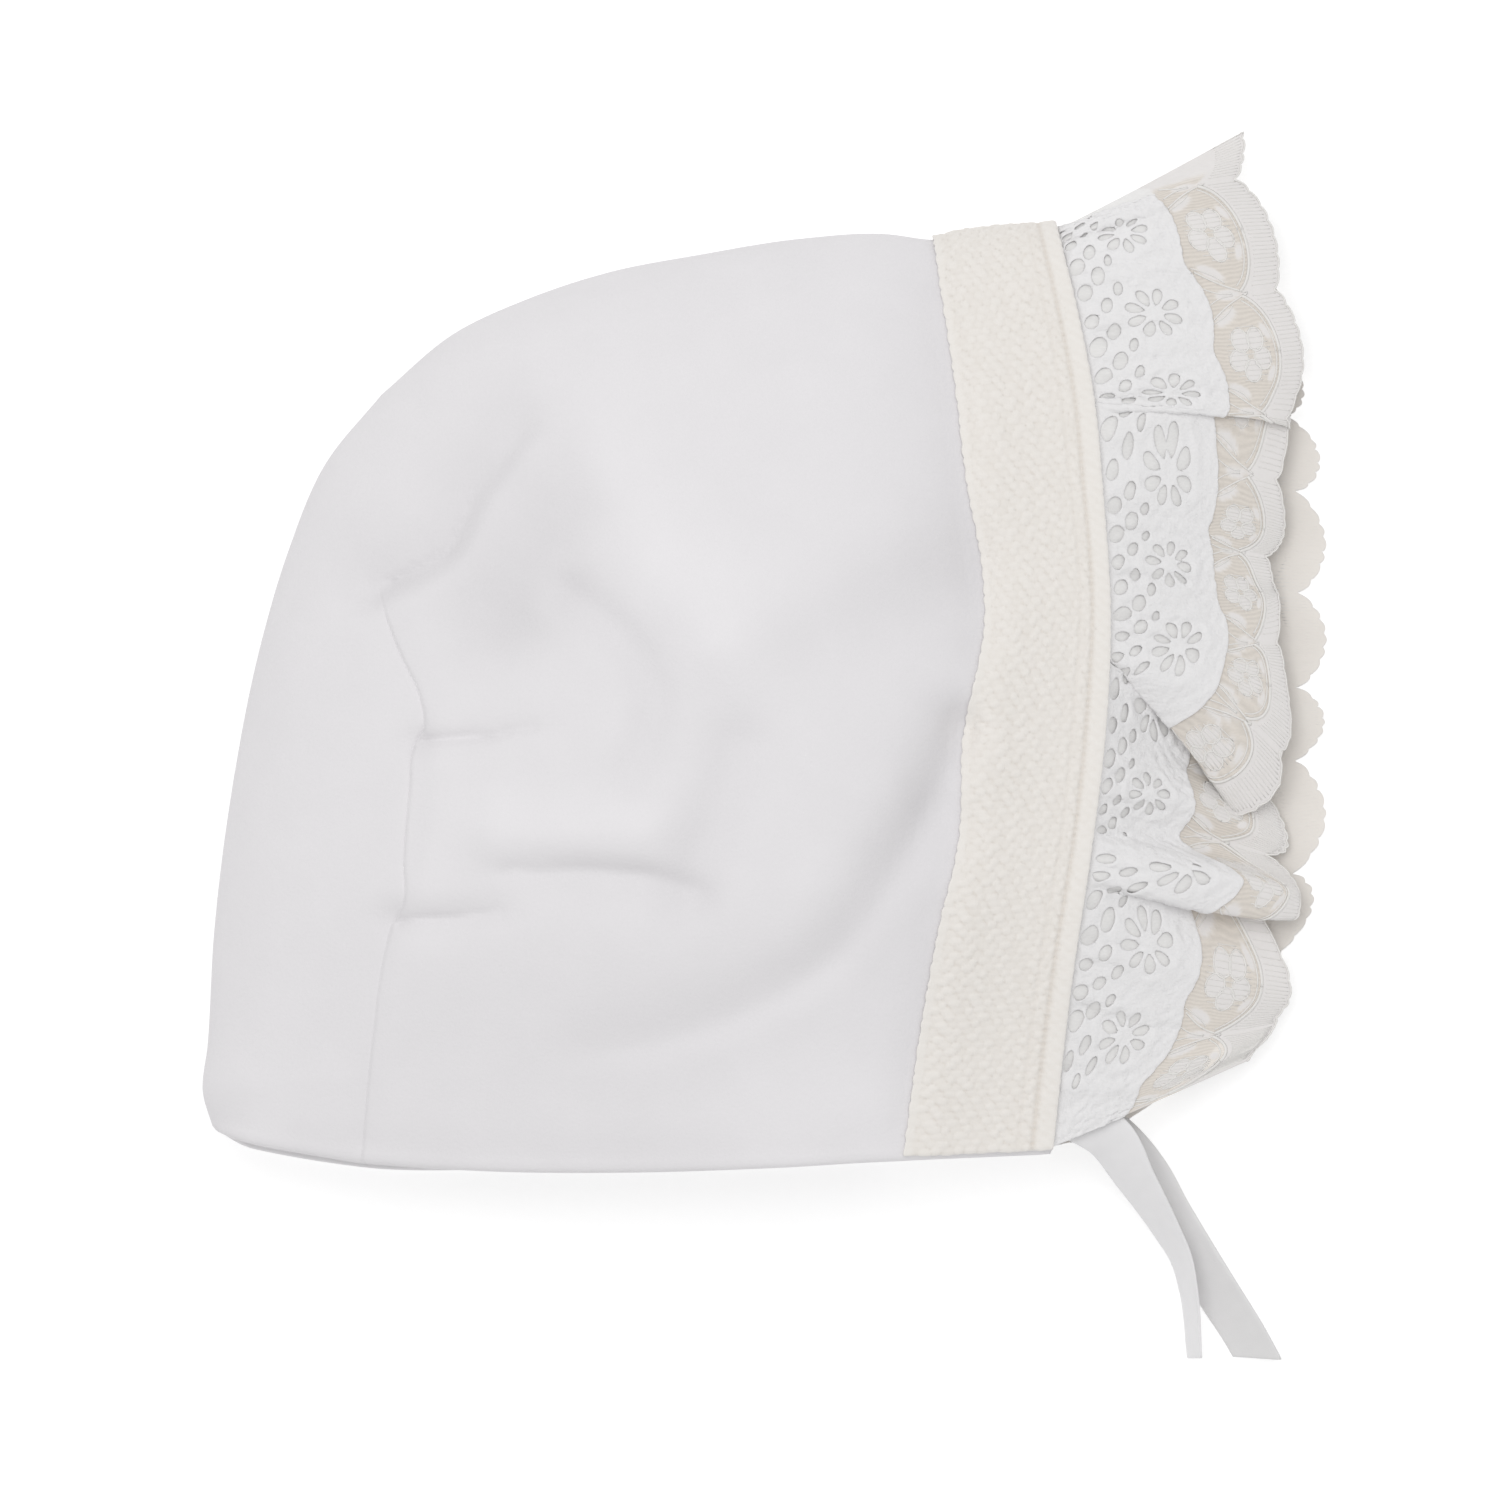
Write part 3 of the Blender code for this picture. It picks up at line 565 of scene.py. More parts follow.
def weld(points, faces, grain=1e-4):
    """Join the points that lie in one place, in millimetres."""
    keys = np.rint(points / grain).astype(np.int64)
    _, first, inverse = np.unique(keys, axis=0, return_index=True, return_inverse=True)
    inverse = inverse.ravel()
    joined = []
    for face in faces:
        corners = inverse[face].tolist()
        kept = [c for i, c in enumerate(corners) if c != corners[i - 1]]
        if len(set(kept)) >= 3:
            joined.append(kept)
    return points[first], joined


def point_normals(points, faces):
    """Unit normals at the points, from the faces round them."""
    triangles = np.array([(face[0], face[i], face[i + 1])
                          for face in faces for i in range(1, len(face) - 1)])
    a, b, c = (points[triangles[:, i]] for i in range(3))
    across = np.cross(b - a, c - a)
    normals = np.zeros_like(points)
    for i in range(3):
        np.add.at(normals, triangles[:, i], across)
    return unit(normals)


def thicken(points, faces, wall, inner=-1.0, roll_steps=3):
    """Close an open sheet into a wall with rounded rims. The wall grows to the inner side, or
    about the middle when inner is 0. Returns the points, the faces and which points are inner."""
    normals = point_normals(points, faces)
    wall = np.broadcast_to(wall, len(points))[:, None]
    outer = points + normals * wall * (inner + 1.0) / 2.0
    inside = outer - normals * wall
    count = len(points)
    closed = [list(face) for face in faces]
    closed += [[corner + count for corner in reversed(face)] for face in faces]
    edges = {(face[i - 1], corner): True for face in faces for i, corner in enumerate(face)}
    start, end = np.array([edge for edge in edges if edge[::-1] not in edges]).T
    beyond = np.zeros_like(points)
    side = np.cross(points[end] - points[start], normals[start])
    np.add.at(beyond, start, side)
    np.add.at(beyond, end, side)
    rim = np.unique(np.concatenate((start, end)))
    beyond = unit(beyond[rim])
    middle = (outer[rim] + inside[rim]) / 2.0
    rings = [rim]
    extra = []
    for step in range(1, roll_steps):
        angle = math.pi * step / roll_steps
        lift = normals[rim] * math.cos(angle) + beyond * math.sin(angle)
        extra.append(middle + lift * wall[rim] / 2.0)
        rings.append(np.arange(len(rim)) + 2 * count + (step - 1) * len(rim))
    rings.append(rim + count)
    place = np.full(count, -1)
    place[rim] = np.arange(len(rim))
    a, b = place[start], place[end]
    for low, high in zip(rings[:-1], rings[1:]):
        closed += np.stack((low[b], low[a], high[a], high[b]), axis=1).tolist()
    everything = np.concatenate([outer, inside] + extra)
    is_inner = np.zeros(len(everything), dtype=bool)
    is_inner[count:2 * count] = True
    is_inner[rim + count] = False
    return everything, closed, is_inner


def thin_inside(piece, is_inner, share):
    """Thin out the hidden inner side of a piece, down to this share of all its faces."""
    group = piece.vertex_groups.new(name="inner")
    group.add(np.flatnonzero(is_inner).tolist(), 1.0, "REPLACE")
    fewer = piece.modifiers.new("Fewer inner faces", "DECIMATE")
    fewer.ratio = share
    fewer.vertex_group = group.name
    graph = bpy.context.evaluated_depsgraph_get()
    made = bpy.data.meshes.new_from_object(piece.evaluated_get(graph))
    piece.modifiers.clear()
    piece.data = made
    piece.data.shade_smooth()


# Materials

def linear_light(value):
    """Turn one channel of a colour as seen, 0 to 255, into linear light."""
    value = value / 255.0
    return value / 12.92 if value <= 0.04045 else ((value + 0.055) / 1.055) ** 2.4


def seen(red, green, blue):
    """A colour as seen in daylight, as linear red, green, blue and alpha."""
    return (linear_light(red), linear_light(green), linear_light(blue), 1.0)


# Sockets of a Mix node for colours, by number because their names aren't unique
MIX_LOW = 6
MIX_HIGH = 7
MIX_RESULT = 2


class Finish:
    """A procedural material under construction."""

    def __init__(self, name, roughness, sheen=0.0, sheen_roughness=0.5, specular=0.3):
        self.material = bpy.data.materials.new(name)
        self.material.use_nodes = True
        self.tree = self.material.node_tree
        self.shader = self.tree.nodes["Principled BSDF"]
        settings = {"Roughness": roughness, "Sheen Weight": sheen,
                    "Sheen Roughness": sheen_roughness, "Specular IOR Level": specular}
        for label, value in settings.items():
            self.shader.inputs[label].default_value = value
        self.place = self.node("TexCoord", {}).outputs["Object"]

    def feed(self, socket, value):
        """Link an output to a socket, or set the socket to a number or a colour."""
        if isinstance(value, bpy.types.NodeSocket):
            self.tree.links.new(value, socket)
        else:
            socket.default_value = value

    def node(self, kind, inputs, **settings):
        """A new node with these inputs and settings."""
        node = self.tree.nodes.new("ShaderNode" + kind)
        for name, value in settings.items():
            setattr(node, name, value)
        for key, value in inputs.items():
            self.feed(node.inputs[key], value)
        return node

    def noise(self, size, detail=2.0, stretch=(1.0, 1.0, 1.0)):
        """Noise whose spots measure about this many millimetres."""
        mapping = self.node("Mapping", {"Vector": self.place, "Scale": stretch})
        inputs = {"Vector": mapping.outputs["Vector"], "Scale": 1.0 / (size * MM), "Detail": detail}
        return self.node("TexNoise", inputs).outputs["Fac"]

    def attribute(self, name):
        """A number stored on the mesh."""
        return self.node("Attribute", {}, attribute_name=name).outputs["Fac"]

    def math(self, operation, *values):
        """A math node on sockets or numbers."""
        return self.node("Math", dict(enumerate(values)), operation=operation).outputs[0]

    def blend(self, first, share, second):
        """Two noises together, of which the first has this share."""
        return self.math("MULTIPLY_ADD", first, share, self.math("MULTIPLY", second, 1.0 - share))

    def mix(self, share, low, high):
        """A colour between two colours."""
        inputs = {0: share, MIX_LOW: low, MIX_HIGH: high}
        return self.node("Mix", inputs, data_type="RGBA", clamp_factor=True).outputs[MIX_RESULT]

    def colour(self, value):
        """Set the base colour, to an output or to a plain colour."""
        self.feed(self.shader.inputs["Base Color"], value)

    def bump(self, height, depth, strength):
        """Add bumps of this depth in millimetres."""
        normal = self.shader.inputs["Normal"]
        inputs = {"Strength": strength, "Distance": depth * MM, "Height": height}
        if normal.links:
            inputs["Normal"] = normal.links[0].from_socket
        self.feed(normal, self.node("Bump", inputs).outputs["Normal"])


def fleece_finish():
    """Soft brushed fleece: a fine pile over faint clouds of tone, with painted shade in the sunk
    folds and painted light on the raised ones.
    """
    finish = Finish("fleece", 0.95, sheen=0.08, sheen_roughness=0.6, specular=0.15)
    clouds = finish.noise(9.0, 3.0)
    nap = finish.noise(0.55, 3.0)
    spots = finish.math("MULTIPLY_ADD", finish.blend(clouds, 0.6, nap), 0.18, -0.09)
    # Painted shade and light: the stored fold tone darkens the sunk folds and pales the raised ones
    tone = finish.math("ADD", spots, finish.attribute("nap"))
    finish.colour(finish.mix(tone, seen(206, 204, 206), seen(249, 247, 249)))
    finish.bump(nap, 0.10, 0.6)
    finish.bump(finish.noise(2.4, 2.0), 0.12, 0.5)
    return finish.material


def knit_finish():
    """Cream wool: whiter on the piping and the selvage, with painted shade, browner, down in the
    grooves and between the stitches.
    """
    finish = Finish("knit", 0.92, sheen=0.10, sheen_roughness=0.6, specular=0.15)
    grain = finish.noise(0.5, 3.0)
    tone = finish.blend(finish.noise(4.0, 2.0), 0.5, grain)
    cream = finish.mix(tone, seen(231, 227, 221), seen(239, 235, 231))
    pale = finish.mix(finish.attribute("pale"), cream, seen(238, 235, 231))
    # Painted shade: browner down between the stitches and in the grooves
    finish.colour(finish.mix(finish.attribute("deep"), pale, seen(220, 213, 205)))
    finish.bump(grain, 0.12, 0.7)
    return finish.material


def cotton_finish():
    """Matt cotton lace, with fine threads that run out from the seam."""
    finish = Finish("cotton_lace", 0.88, sheen=0.05, specular=0.2)
    threads = finish.noise(0.55, 3.0, (0.6, 1.0, 1.0))
    tone = finish.blend(finish.noise(3.0, 2.0), 0.5, threads)
    finish.colour(finish.mix(tone, seen(231, 230, 230), seen(238, 237, 238)))
    finish.bump(threads, 0.22, 0.9)
    finish.bump(finish.noise(1.6, 2.0), 0.25, 0.6)
    return finish.material


HATCH_PITCH = 0.65


def net_finish():
    """Fine net that lets some of what is behind it through, closer along the scallops."""
    finish = Finish("net_lace", 0.6, specular=0.3)
    is_open = finish.attribute("open")
    warm = finish.mix(finish.noise(2.0, 2.0), seen(228, 225, 223), seen(234, 231, 230))
    # Painted light: paler where the net lies under the cotton, lifting the shade in the cotton's
    # holes
    plain = finish.mix(finish.attribute("under"), warm, seen(236, 235, 234))
    # Cream on the far half is partly the lace's own ivory and partly painted shade; on the open
    # ground it is painted shade of the layer behind
    cream = finish.mix(finish.attribute("cream"), plain, seen(235, 230, 224))
    # Painted shade: the open ground is tinted a darker cream, for the shaded layer behind it
    finish.colour(finish.mix(finish.math("MULTIPLY", is_open, 0.3), cream, seen(236, 224, 208)))
    threads = finish.noise(0.35, 1.0, (0.3, 1.0, 1.0))
    wander = finish.math("MULTIPLY_ADD", finish.noise(6.0, 1.0), 2.0, finish.attribute("along"))
    stripes = finish.math("SINE", finish.math("MULTIPLY", wander, TURN / HATCH_PITCH))
    hatch = finish.math("MULTIPLY", finish.math("MULTIPLY", stripes, 0.05), is_open)
    cover = finish.math("MULTIPLY_ADD", threads, 0.12, finish.attribute("cover"))
    cover = finish.math("MINIMUM", finish.math("ADD", cover, hatch), 1.0)
    finish.feed(finish.shader.inputs["Alpha"], cover)
    finish.bump(threads, 0.06, 0.6)
    return finish.material


def thread_finish():
    """Smooth thicker thread of the net's drawing."""
    finish = Finish("net_thread", 0.55, specular=0.3)
    finish.colour(finish.mix(finish.noise(1.5, 2.0), seen(230, 228, 225), seen(236, 234, 231)))
    finish.bump(finish.noise(0.3, 1.0), 0.04, 0.5)
    return finish.material


def ribbon_finish(name, low, high):
    """Smooth woven ribbon with a soft sheen."""
    finish = Finish(name, 0.42, sheen=0.15, sheen_roughness=0.35, specular=0.35)
    finish.colour(finish.mix(finish.noise(3.0, 2.0), low, high))
    finish.bump(finish.noise(0.25, 1.0), 0.03, 0.5)
    return finish.material


# Camera and ties

# The photo's frame: its middle in the row frame, and its width, in metres
VIEW_CENTRE = (-0.0026, -0.0165)
VIEW_WIDTH = 0.255
CAMERA_HEIGHT = 3.5
SENSOR = 36.0


def make_camera():
    """A camera that looks straight down, as the photo does."""
    data = bpy.data.cameras.new("camera")
    data.sensor_width = SENSOR
    data.lens = SENSOR * CAMERA_HEIGHT / VIEW_WIDTH
    data.clip_end = 10.0
    camera = add_object("camera", data)
    camera.location = (*VIEW_CENTRE, CAMERA_HEIGHT)
    bpy.context.scene.camera = camera


TIE_WIDTH = 7.8
TIE_WALL = 0.45
TIE_COLUMNS = 110
TIE_ROWS = 15
TIE_CROWN = 0.35
# The firmer selvage: its height, and its place and width in parts of half the ribbon's width
TIE_SELVAGE = 0.12
TIE_SELVAGE_PLACE = 0.9
TIE_SELVAGE_WIDTH = 0.06
# Ties. Columns: points of the middle line, each with x, y, z and how far the right edge is rolled
# up, in degrees; how much shorter the left edge is, as a share; and the finish. The two finishes
# are one ribbon, the left one coloured darker as painted shade
TIES = {
    "tie_right": (
        ((147.5, 8.6, 17.4, 0), (153.2, 5.2, 14.6, 6), (158.2, -2.4, 10, 38),
         (163.3, -10.8, 6.2, 57), (166, -16, 4.9, 65), (167.3, -21.5, 4.4, 70),
         (168.3, -32.7, 4.2, 75)),
        0.0, ("ribbon_lit_copy", seen(230, 229, 230), seen(236, 235, 236))),
    "tie_left": (
        ((147.5, 9.2, 4.2, 0), (155, 4.2, 4.2, 6), (160.2, -1.8, 2.9, 14),
         (163.8, -8.1, 2.1, 20), (167.9, -14.8, 2.1, 24), (172.4, -22, 2.3, 27),
         (176.9, -29.1, 2.3, 30), (179.9, -34.6, 2.3, 30)),
        # Painted shade: the same ribbon coloured darker on the left tie
        0.075, ("ribbon_shaded_copy", seen(219, 218, 218), seen(225, 224, 224))),
}


def tie_points(rows, share, across, step=0.001):
    """Points of a ribbon: along its middle line, and across its width from -1 to 1."""
    rows = np.array(rows, dtype=float)
    knots = running_length(rows[:, :3])
    middle, ahead, behind = (hermite(knots, rows, np.clip(share + s, 0.0, 1.0) * knots[-1])
                             for s in (0.0, step, -step))
    heading = unit((ahead - behind)[..., :2])
    roll = np.radians(middle[..., 3])
    sideways = np.stack((-heading[..., 1] * np.cos(roll), heading[..., 0] * np.cos(roll),
                         np.sin(roll)), axis=-1)
    return middle[..., :3] + sideways * (across * TIE_WIDTH / 2.0)[..., None]


def make_tie(name, rows, slant, finish):
    """One ribbon tie, a little crowned across, with a firmer selvage along each side."""
    share, across = np.meshgrid(np.linspace(0.0, 1.0, TIE_COLUMNS),
                                np.linspace(-1.0, 1.0, TIE_ROWS), indexing="ij")
    points = tie_points(rows, share * (1.0 - slant * (1.0 - across) / 2.0), across)
    points[..., 2] += TIE_CROWN * (1.0 - across ** 2) * (1.0 - share)
    from_selvage = np.abs(across) - TIE_SELVAGE_PLACE
    points[..., 2] += TIE_SELVAGE * bell(from_selvage, TIE_SELVAGE_WIDTH)
    solid, closed, _ = thicken(points.reshape(-1, 3), grid_faces(*share.shape), TIE_WALL, 0.0)
    piece = make_mesh(name + "_ribbon", solid, closed, ribbon_finish(*finish))
    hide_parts(name)
    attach(piece, "root")


# Crown

BAND_COLUMNS = 14
SEAM_LINES = (0.0, 0.25, 0.5, 0.8, 1.2, 1.8)
ROW_LENGTH = 92.0
BACK_LENGTH = 34.0
FINE_STEP = 0.7
FINE_COLUMNS = 40
BACK_COLUMNS = 14
SIDE_ROWS = 190
# Share of the faces that is left when the hidden inner side of the crown or band is thinned out
CROWN_KEPT = 0.62
BAND_KEPT = 0.56


def make_crown():
    """The fleece crown: the band's ground, the side panel and the back panel in one wall."""
    turns = lines_from(ROUNDING_LINES, SIDE_ROWS, COLUMN_LENGTH)
    turns = np.concatenate((-turns[:0:-1], turns))
    up = 1.0 - np.abs(turns)
    near = turns > 0.0
    fine = SEAM_LINES[-1] + FINE_STEP * np.arange(1, FINE_COLUMNS + 1)
    side_columns = 1.0 - lines_from((*SEAM_LINES, *fine), FINE_COLUMNS, ROW_LENGTH)[::-1]
    back_start = lines_from(SEAM_LINES, BACK_COLUMNS, BACK_LENGTH)
    back_end = 1.0 - lines_from(ROUNDING_LINES, BACK_COLUMNS, BACK_LENGTH)[::-1]
    back_columns = (*back_start[back_start < 0.5], *back_end[back_end >= 0.5])
    back_columns = np.unique(np.round(back_columns, 6))
    columns = [(BAND_GROUND, share) for share in np.linspace(0.0, 1.0, BAND_COLUMNS + 1)]
    columns += [(SIDE_GROUND, share) for share in side_columns[1:]]
    columns += [(BACK_GROUND, share) for share in back_columns[1:]]
    points = np.stack([shell_points(ground, np.full_like(up, share), up, near)
                       for ground, share in columns])
    flat, joined = weld(points.reshape(-1, 3), grid_faces(len(columns), len(turns)))
    solid, closed, is_inner = thicken(flat, joined, FLEECE_WALL, -1.0, 4)
    # Painted shade and light: a tone from the folds' heights, darker where they sink in, paler
    # where they stand up
    folds = folds_height(solid[:, 0], solid[:, 1]) * ease((solid[:, 2] - FOLD_HEIGHT) / FOLD_SHADE_RISE)
    piece = make_mesh("fleece_crown", solid, closed, fleece_finish(),
                      nap=np.clip(0.5 + FOLD_SHADE_TONE * folds, 0.0, 1.0))
    thin_inside(piece, is_inner, CROWN_KEPT)
    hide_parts("crown")
    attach(piece, "root")


# Knit band: sizes across it from the front edge, and the stitches

BAND_WIDTH = 21.5
PIPING_WIDTH = 1.4
PIPING_RISE = 0.20
# Rows of stitching sunk into the wool. Columns: place, depth and half width
GROOVES = ((2.35, 0.40, 0.40), (4.6, 0.16, 0.40))
STITCH_ACROSS = 1.75
STITCH_ALONG = 1.22
STITCH_RISE = 0.32
# Half sizes of a stitch across and along, in parts of its pitch
STITCH_HALVES = (0.56, 0.66)
# The piping's twist: its pitches along and across and its height. Then the stitched rows' pitch
TWIST_PITCH = (1.9, 1.6)
TWIST_RISE = 0.05
CHAIN_PITCH = 2.3
SELVAGE_WIDTH = 1.3
SELVAGE_PITCH = 2.4
SELVAGE_BULGE = 0.32
SELVAGE_RISE = 0.12
FRONT_OVERHANG = 0.6
OVERHANG_REACH = 1.2
# Height of the wool's face above the crown and thickness of its wall, each in the body of the
# band and at its back edge, towards which it thins over BAND_THIN
BAND_TOP = (1.45, 0.62)
BAND_BODY = (1.05, 0.50)
BAND_THIN = 5.0
BAND_FOLD_LINES = (0.0, 0.04, 0.12, 0.24, 0.4, 0.6, 0.84, 1.1)
NEAR_BAND_STEP = 0.29
FAR_BAND_STEP = 0.45
BAND_ACROSS = 76


def stitch_relief(across, along_band):
    """Height of the knit stitches, which sines of odd rates scatter and size."""
    row = along_band / STITCH_ALONG
    height = np.zeros_like(across)
    for shift in (-1.0, 0.0, 1.0):
        line = np.round(row) + shift
        jitter = 0.30 * np.sin(line * 12.9898) + 0.10 * np.sin(across * 1.7 + line)
        place = across / STITCH_ACROSS + 0.5 * np.mod(line, 2.0) + jitter
        stitch = np.round(place)
        wobble = 0.12 * np.sin(stitch * 78.233 + line * 37.719)
        dx = (place - stitch) / STITCH_HALVES[0]
        dy = (row - line + wobble + 0.12 * (place - stitch)) / STITCH_HALVES[1]
        round_top = np.sqrt(np.clip(1.0 - dx ** 2 - dy ** 2, 0.0, 1.0))
        size = 0.80 + 0.30 * np.sin(stitch * 4.1 + line * 2.7)
        height = np.maximum(height, round_top * size)
    return height


def selvage_beads(along_band):
    """Uneven beads along the selvage, from 0 between them to 1 on their tops."""
    wander = 0.35 * np.sin(along_band * 0.83) + 0.22 * np.sin(along_band * 1.9)
    size = 0.72 + 0.28 * np.sin(along_band * 1.3 + 0.6)
    return np.abs(np.sin(math.pi * along_band / SELVAGE_PITCH + wander)) * size


def band_relief(across, along_band):
    """Height above the band's plain face, how pale the wool is there, and how much painted shade
    darkens it between the stitches and in the grooves.
    """
    stitches = stitch_relief(across, along_band)
    front = ease(1.0 - (across - PIPING_WIDTH) / 0.5)
    twist = 0.5 + 0.5 * np.sin(TURN * (along_band / TWIST_PITCH[0] + across / TWIST_PITCH[1]))
    middle = PIPING_WIDTH / 2.0
    rounded = np.clip(1.0 - ((across - middle) / (middle + 0.1)) ** 2, 0.0, 1.0)
    piping = PIPING_RISE * np.sqrt(rounded) + TWIST_RISE * twist
    height = STITCH_RISE * stitches * (1.0 - 0.75 * front) + piping * front
    # Painted shade: darker down between the stitches, in the piping's twist, in the stitched
    # grooves and between the selvage's beads
    deep = 0.55 * (1.0 - stitches) ** 2 * (1.0 - 0.6 * front) + 0.12 * (1.0 - twist) * front
    for place, depth, half_width in GROOVES:
        chain = 0.6 + 0.4 * np.sin(TURN * along_band / CHAIN_PITCH + place) ** 2
        groove = bell(across - place, half_width) * chain
        height -= depth * groove
        deep = np.maximum(deep, groove * min(1.0, depth * 2.2))
    back = ease((across - (BAND_WIDTH - SELVAGE_WIDTH)) / 0.6)
    bead = selvage_beads(along_band)
    height = mix(height, 0.15 + SELVAGE_RISE * np.sqrt(bead), back)
    deep = mix(deep, 0.12 * (1.0 - bead) ** 2, back)
    return height, np.maximum(front * 0.6, back * 0.3), np.clip(deep, 0.0, 1.0)


def make_knit_band():
    """The knit band, with its stitches, piping, stitched grooves and bumpy selvage."""
    near_turns, far_turns = (lines_from(BAND_FOLD_LINES, int(COLUMN_LENGTH / step), COLUMN_LENGTH)
                             for step in (NEAR_BAND_STEP, FAR_BAND_STEP))
    turns = np.concatenate((-far_turns[:0:-1], near_turns))
    back, turn = np.meshgrid(np.linspace(0.0, 1.0, BAND_ACROSS), turns, indexing="ij")
    points = shell_points(BAND_GROUND, back, 1.0 - np.abs(turn), turn > 0.0)
    backward, round_way = (np.gradient(points, axis=axis) for axis in (0, 1))
    normals = unit(np.cross(backward, round_way))
    steps = np.linalg.norm(np.diff(points, axis=0, prepend=points[:1]), axis=-1)
    across = np.cumsum(steps, axis=0)
    across *= BAND_WIDTH / across[-1]
    length = running_length(points[0]) * np.ones_like(across)
    height, pale, deep = band_relief(across, length)
    thin = ease((across - (BAND_WIDTH - BAND_THIN)) / BAND_THIN)
    points = points + normals * (mix(*BAND_TOP, thin) + height)[..., None]
    bulge = SELVAGE_BULGE * (selvage_beads(length) - 0.5)
    bulge *= ease((across - (BAND_WIDTH - SELVAGE_WIDTH)) / SELVAGE_WIDTH)
    overhang = FRONT_OVERHANG * ease(1.0 - across / OVERHANG_REACH)
    points += unit(backward) * (bulge - overhang)[..., None]
    solid, closed, is_inner = thicken(points.reshape(-1, 3), grid_faces(*across.shape),
                                      mix(*BAND_BODY, thin).ravel(), -1.0, 4)
    rolled = np.ones(len(solid) - 2 * across.size)
    # The painted shade of the recesses is stored on the outer and inner side, none on the rolled
    # rim
    piece = make_mesh("wool_band", solid, closed, knit_finish(),
                      pale=np.concatenate((pale.ravel(), pale.ravel(), 0.8 * rolled)),
                      deep=np.concatenate((deep.ravel(), deep.ravel(), 0.0 * rolled)))
    thin_inside(piece, is_inner, BAND_KEPT)
    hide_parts("knit_band")
    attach(piece, "root")


# Cotton lace, measured from the seam out

COTTON_WIDTH = 19.6
COTTON_SCALLOP = 1.5
COTTON_PICOT = 0.16
COTTON_PICOTS = 7
COTTON_CLEAR = 0.32
CLEAR_REACH = 1.5
COTTON_WALL = 0.26
# Grid steps of the near and far halves, and how far the grid goes past the cloth's edge
COTTON_STEPS = (0.36, 0.55)
COTTON_MARGIN = 0.4
# The cotton's outer edge stays this far below the top fold, where the net shows above it
TOP_STRIP = 4.2
TOP_STRIP_LENGTH = 0.45
COTTON_PLAIN_FROM = 10.5
WHEEL_OUT = 10.6
WHEEL_SPOKES = 8
WHEEL_RADIUS = 2.8
SPOKE_HOLE = (1.5, 0.84)
# Rows of holes in the ground. Columns: distance from the seam, half length along and half width
# across, start in parts of the hole pitch, and how close to a wheel's line a hole may lie
GROUND_HOLES = ((2.0, 1.55, 1.12, 0.0, 0.0), (4.45, 1.48, 0.98, 0.5, 0.0),
                (6.65, 1.25, 0.76, 0.0, 3.2))
HOLES_EACH = 3
HOLE_SLANT = 0.22
# Repeats where the cloth stays whole over a steep fold, and how far round them; then the depth
# of cloth that closes a hole
WHOLE_CLOTH = ((-1.1, 0.24), (2.33, 0.07), (7.82, 0.10))
CLOSES_HOLES = 3.0
# Small dents of the cloth. Columns: distance from a wheel's line, from the seam, and size
DENTS = ((7.25, 12.2, 0.45), (7.25, 9.4, 0.40), (4.9, 15.9, 0.40), (2.6, 16.9, 0.35),
         (6.2, 14.6, 0.35), (0.0, 17.4, 0.40), (7.25, 15.6, 0.40))
DENT_DEPTH = 0.22
# Ridges round the holes, inside the cloth, and round each wheel's middle. Columns: height,
# distance and width
HOLE_RIDGE = (0.07, 0.42, 0.3)
RING_RIDGE = (0.16, 5.2, 0.5)
NO_HOLE = 9.0
CROCHET_RISE = 0.09
UNEVEN_RISE = 0.12


def ellipse(x, y, half_x, half_y):
    """About how far a point lies outside an ellipse, in millimetres."""
    ratio = np.sqrt((x / half_x) ** 2 + (y / half_y) ** 2)
    return (ratio - 1.0) * np.minimum(half_x, half_y)


def from_middle(value):
    """How far a value lies from the nearest whole number."""
    return value - np.round(value)


def cotton_cloth(repeat, out):
    """How far inside the cotton's cloth a point lies, in millimetres: minus in a hole or past
    the edge. Repeats run along the lace, and out is in millimetres from the seam. Sines of odd
    rates make the holes uneven."""
    wheel_x = from_middle(repeat) * REPEAT
    plain = ease((repeat - COTTON_PLAIN_FROM) / 0.2)
    edge = COTTON_WIDTH - COTTON_SCALLOP * (1.0 - np.abs(np.cos(math.pi * repeat))) - out
    edge -= COTTON_PICOT * (1.0 - np.abs(np.sin(math.pi * COTTON_PICOTS * repeat))) * (1.0 - plain)
    radius = np.hypot(wheel_x, out - WHEEL_OUT)
    wheel = np.round(repeat)
    angle = np.arctan2(out - WHEEL_OUT, wheel_x) + 0.6 * np.sin(wheel * 2.3)
    sector = TURN / WHEEL_SPOKES
    spoke = np.round(angle / sector)
    turned = angle - (spoke + 0.02 * np.sin(spoke * 2.1 + wheel * 5.7)) * sector
    uneven = 1.0 + 0.10 * np.sin(spoke * 3.7 + wheel * 1.9)
    widening = (0.30 + 0.70 * radius / WHEEL_RADIUS) * uneven
    spokes = ellipse(radius - WHEEL_RADIUS, turned * radius / widening, *SPOKE_HOLE)
    cloth = np.minimum(NO_HOLE, spokes)
    pitch = REPEAT / HOLES_EACH
    for place, half_along, half_across, start, clear in GROUND_HOLES:
        shifted = repeat * REPEAT / pitch - start
        number = np.round(shifted)
        x = from_middle(shifted) * pitch
        size = 1.0 + 0.12 * np.sin(number * 4.3 + place * 2.0)
        moved = 0.14 * np.sin(number * 2.9 + place)
        slanted = out - place + HOLE_SLANT * x
        hole = ellipse(x + moved, slanted, half_along * size, half_across * size)
        cloth = np.minimum(cloth, np.where(np.abs(wheel_x - x) < clear, NO_HOLE, hole))
    for place, width in WHOLE_CLOTH:
        cloth = cloth + CLOSES_HOLES * bell(repeat - place, width)
    return np.minimum(edge, cloth + CLOSES_HOLES * plain)


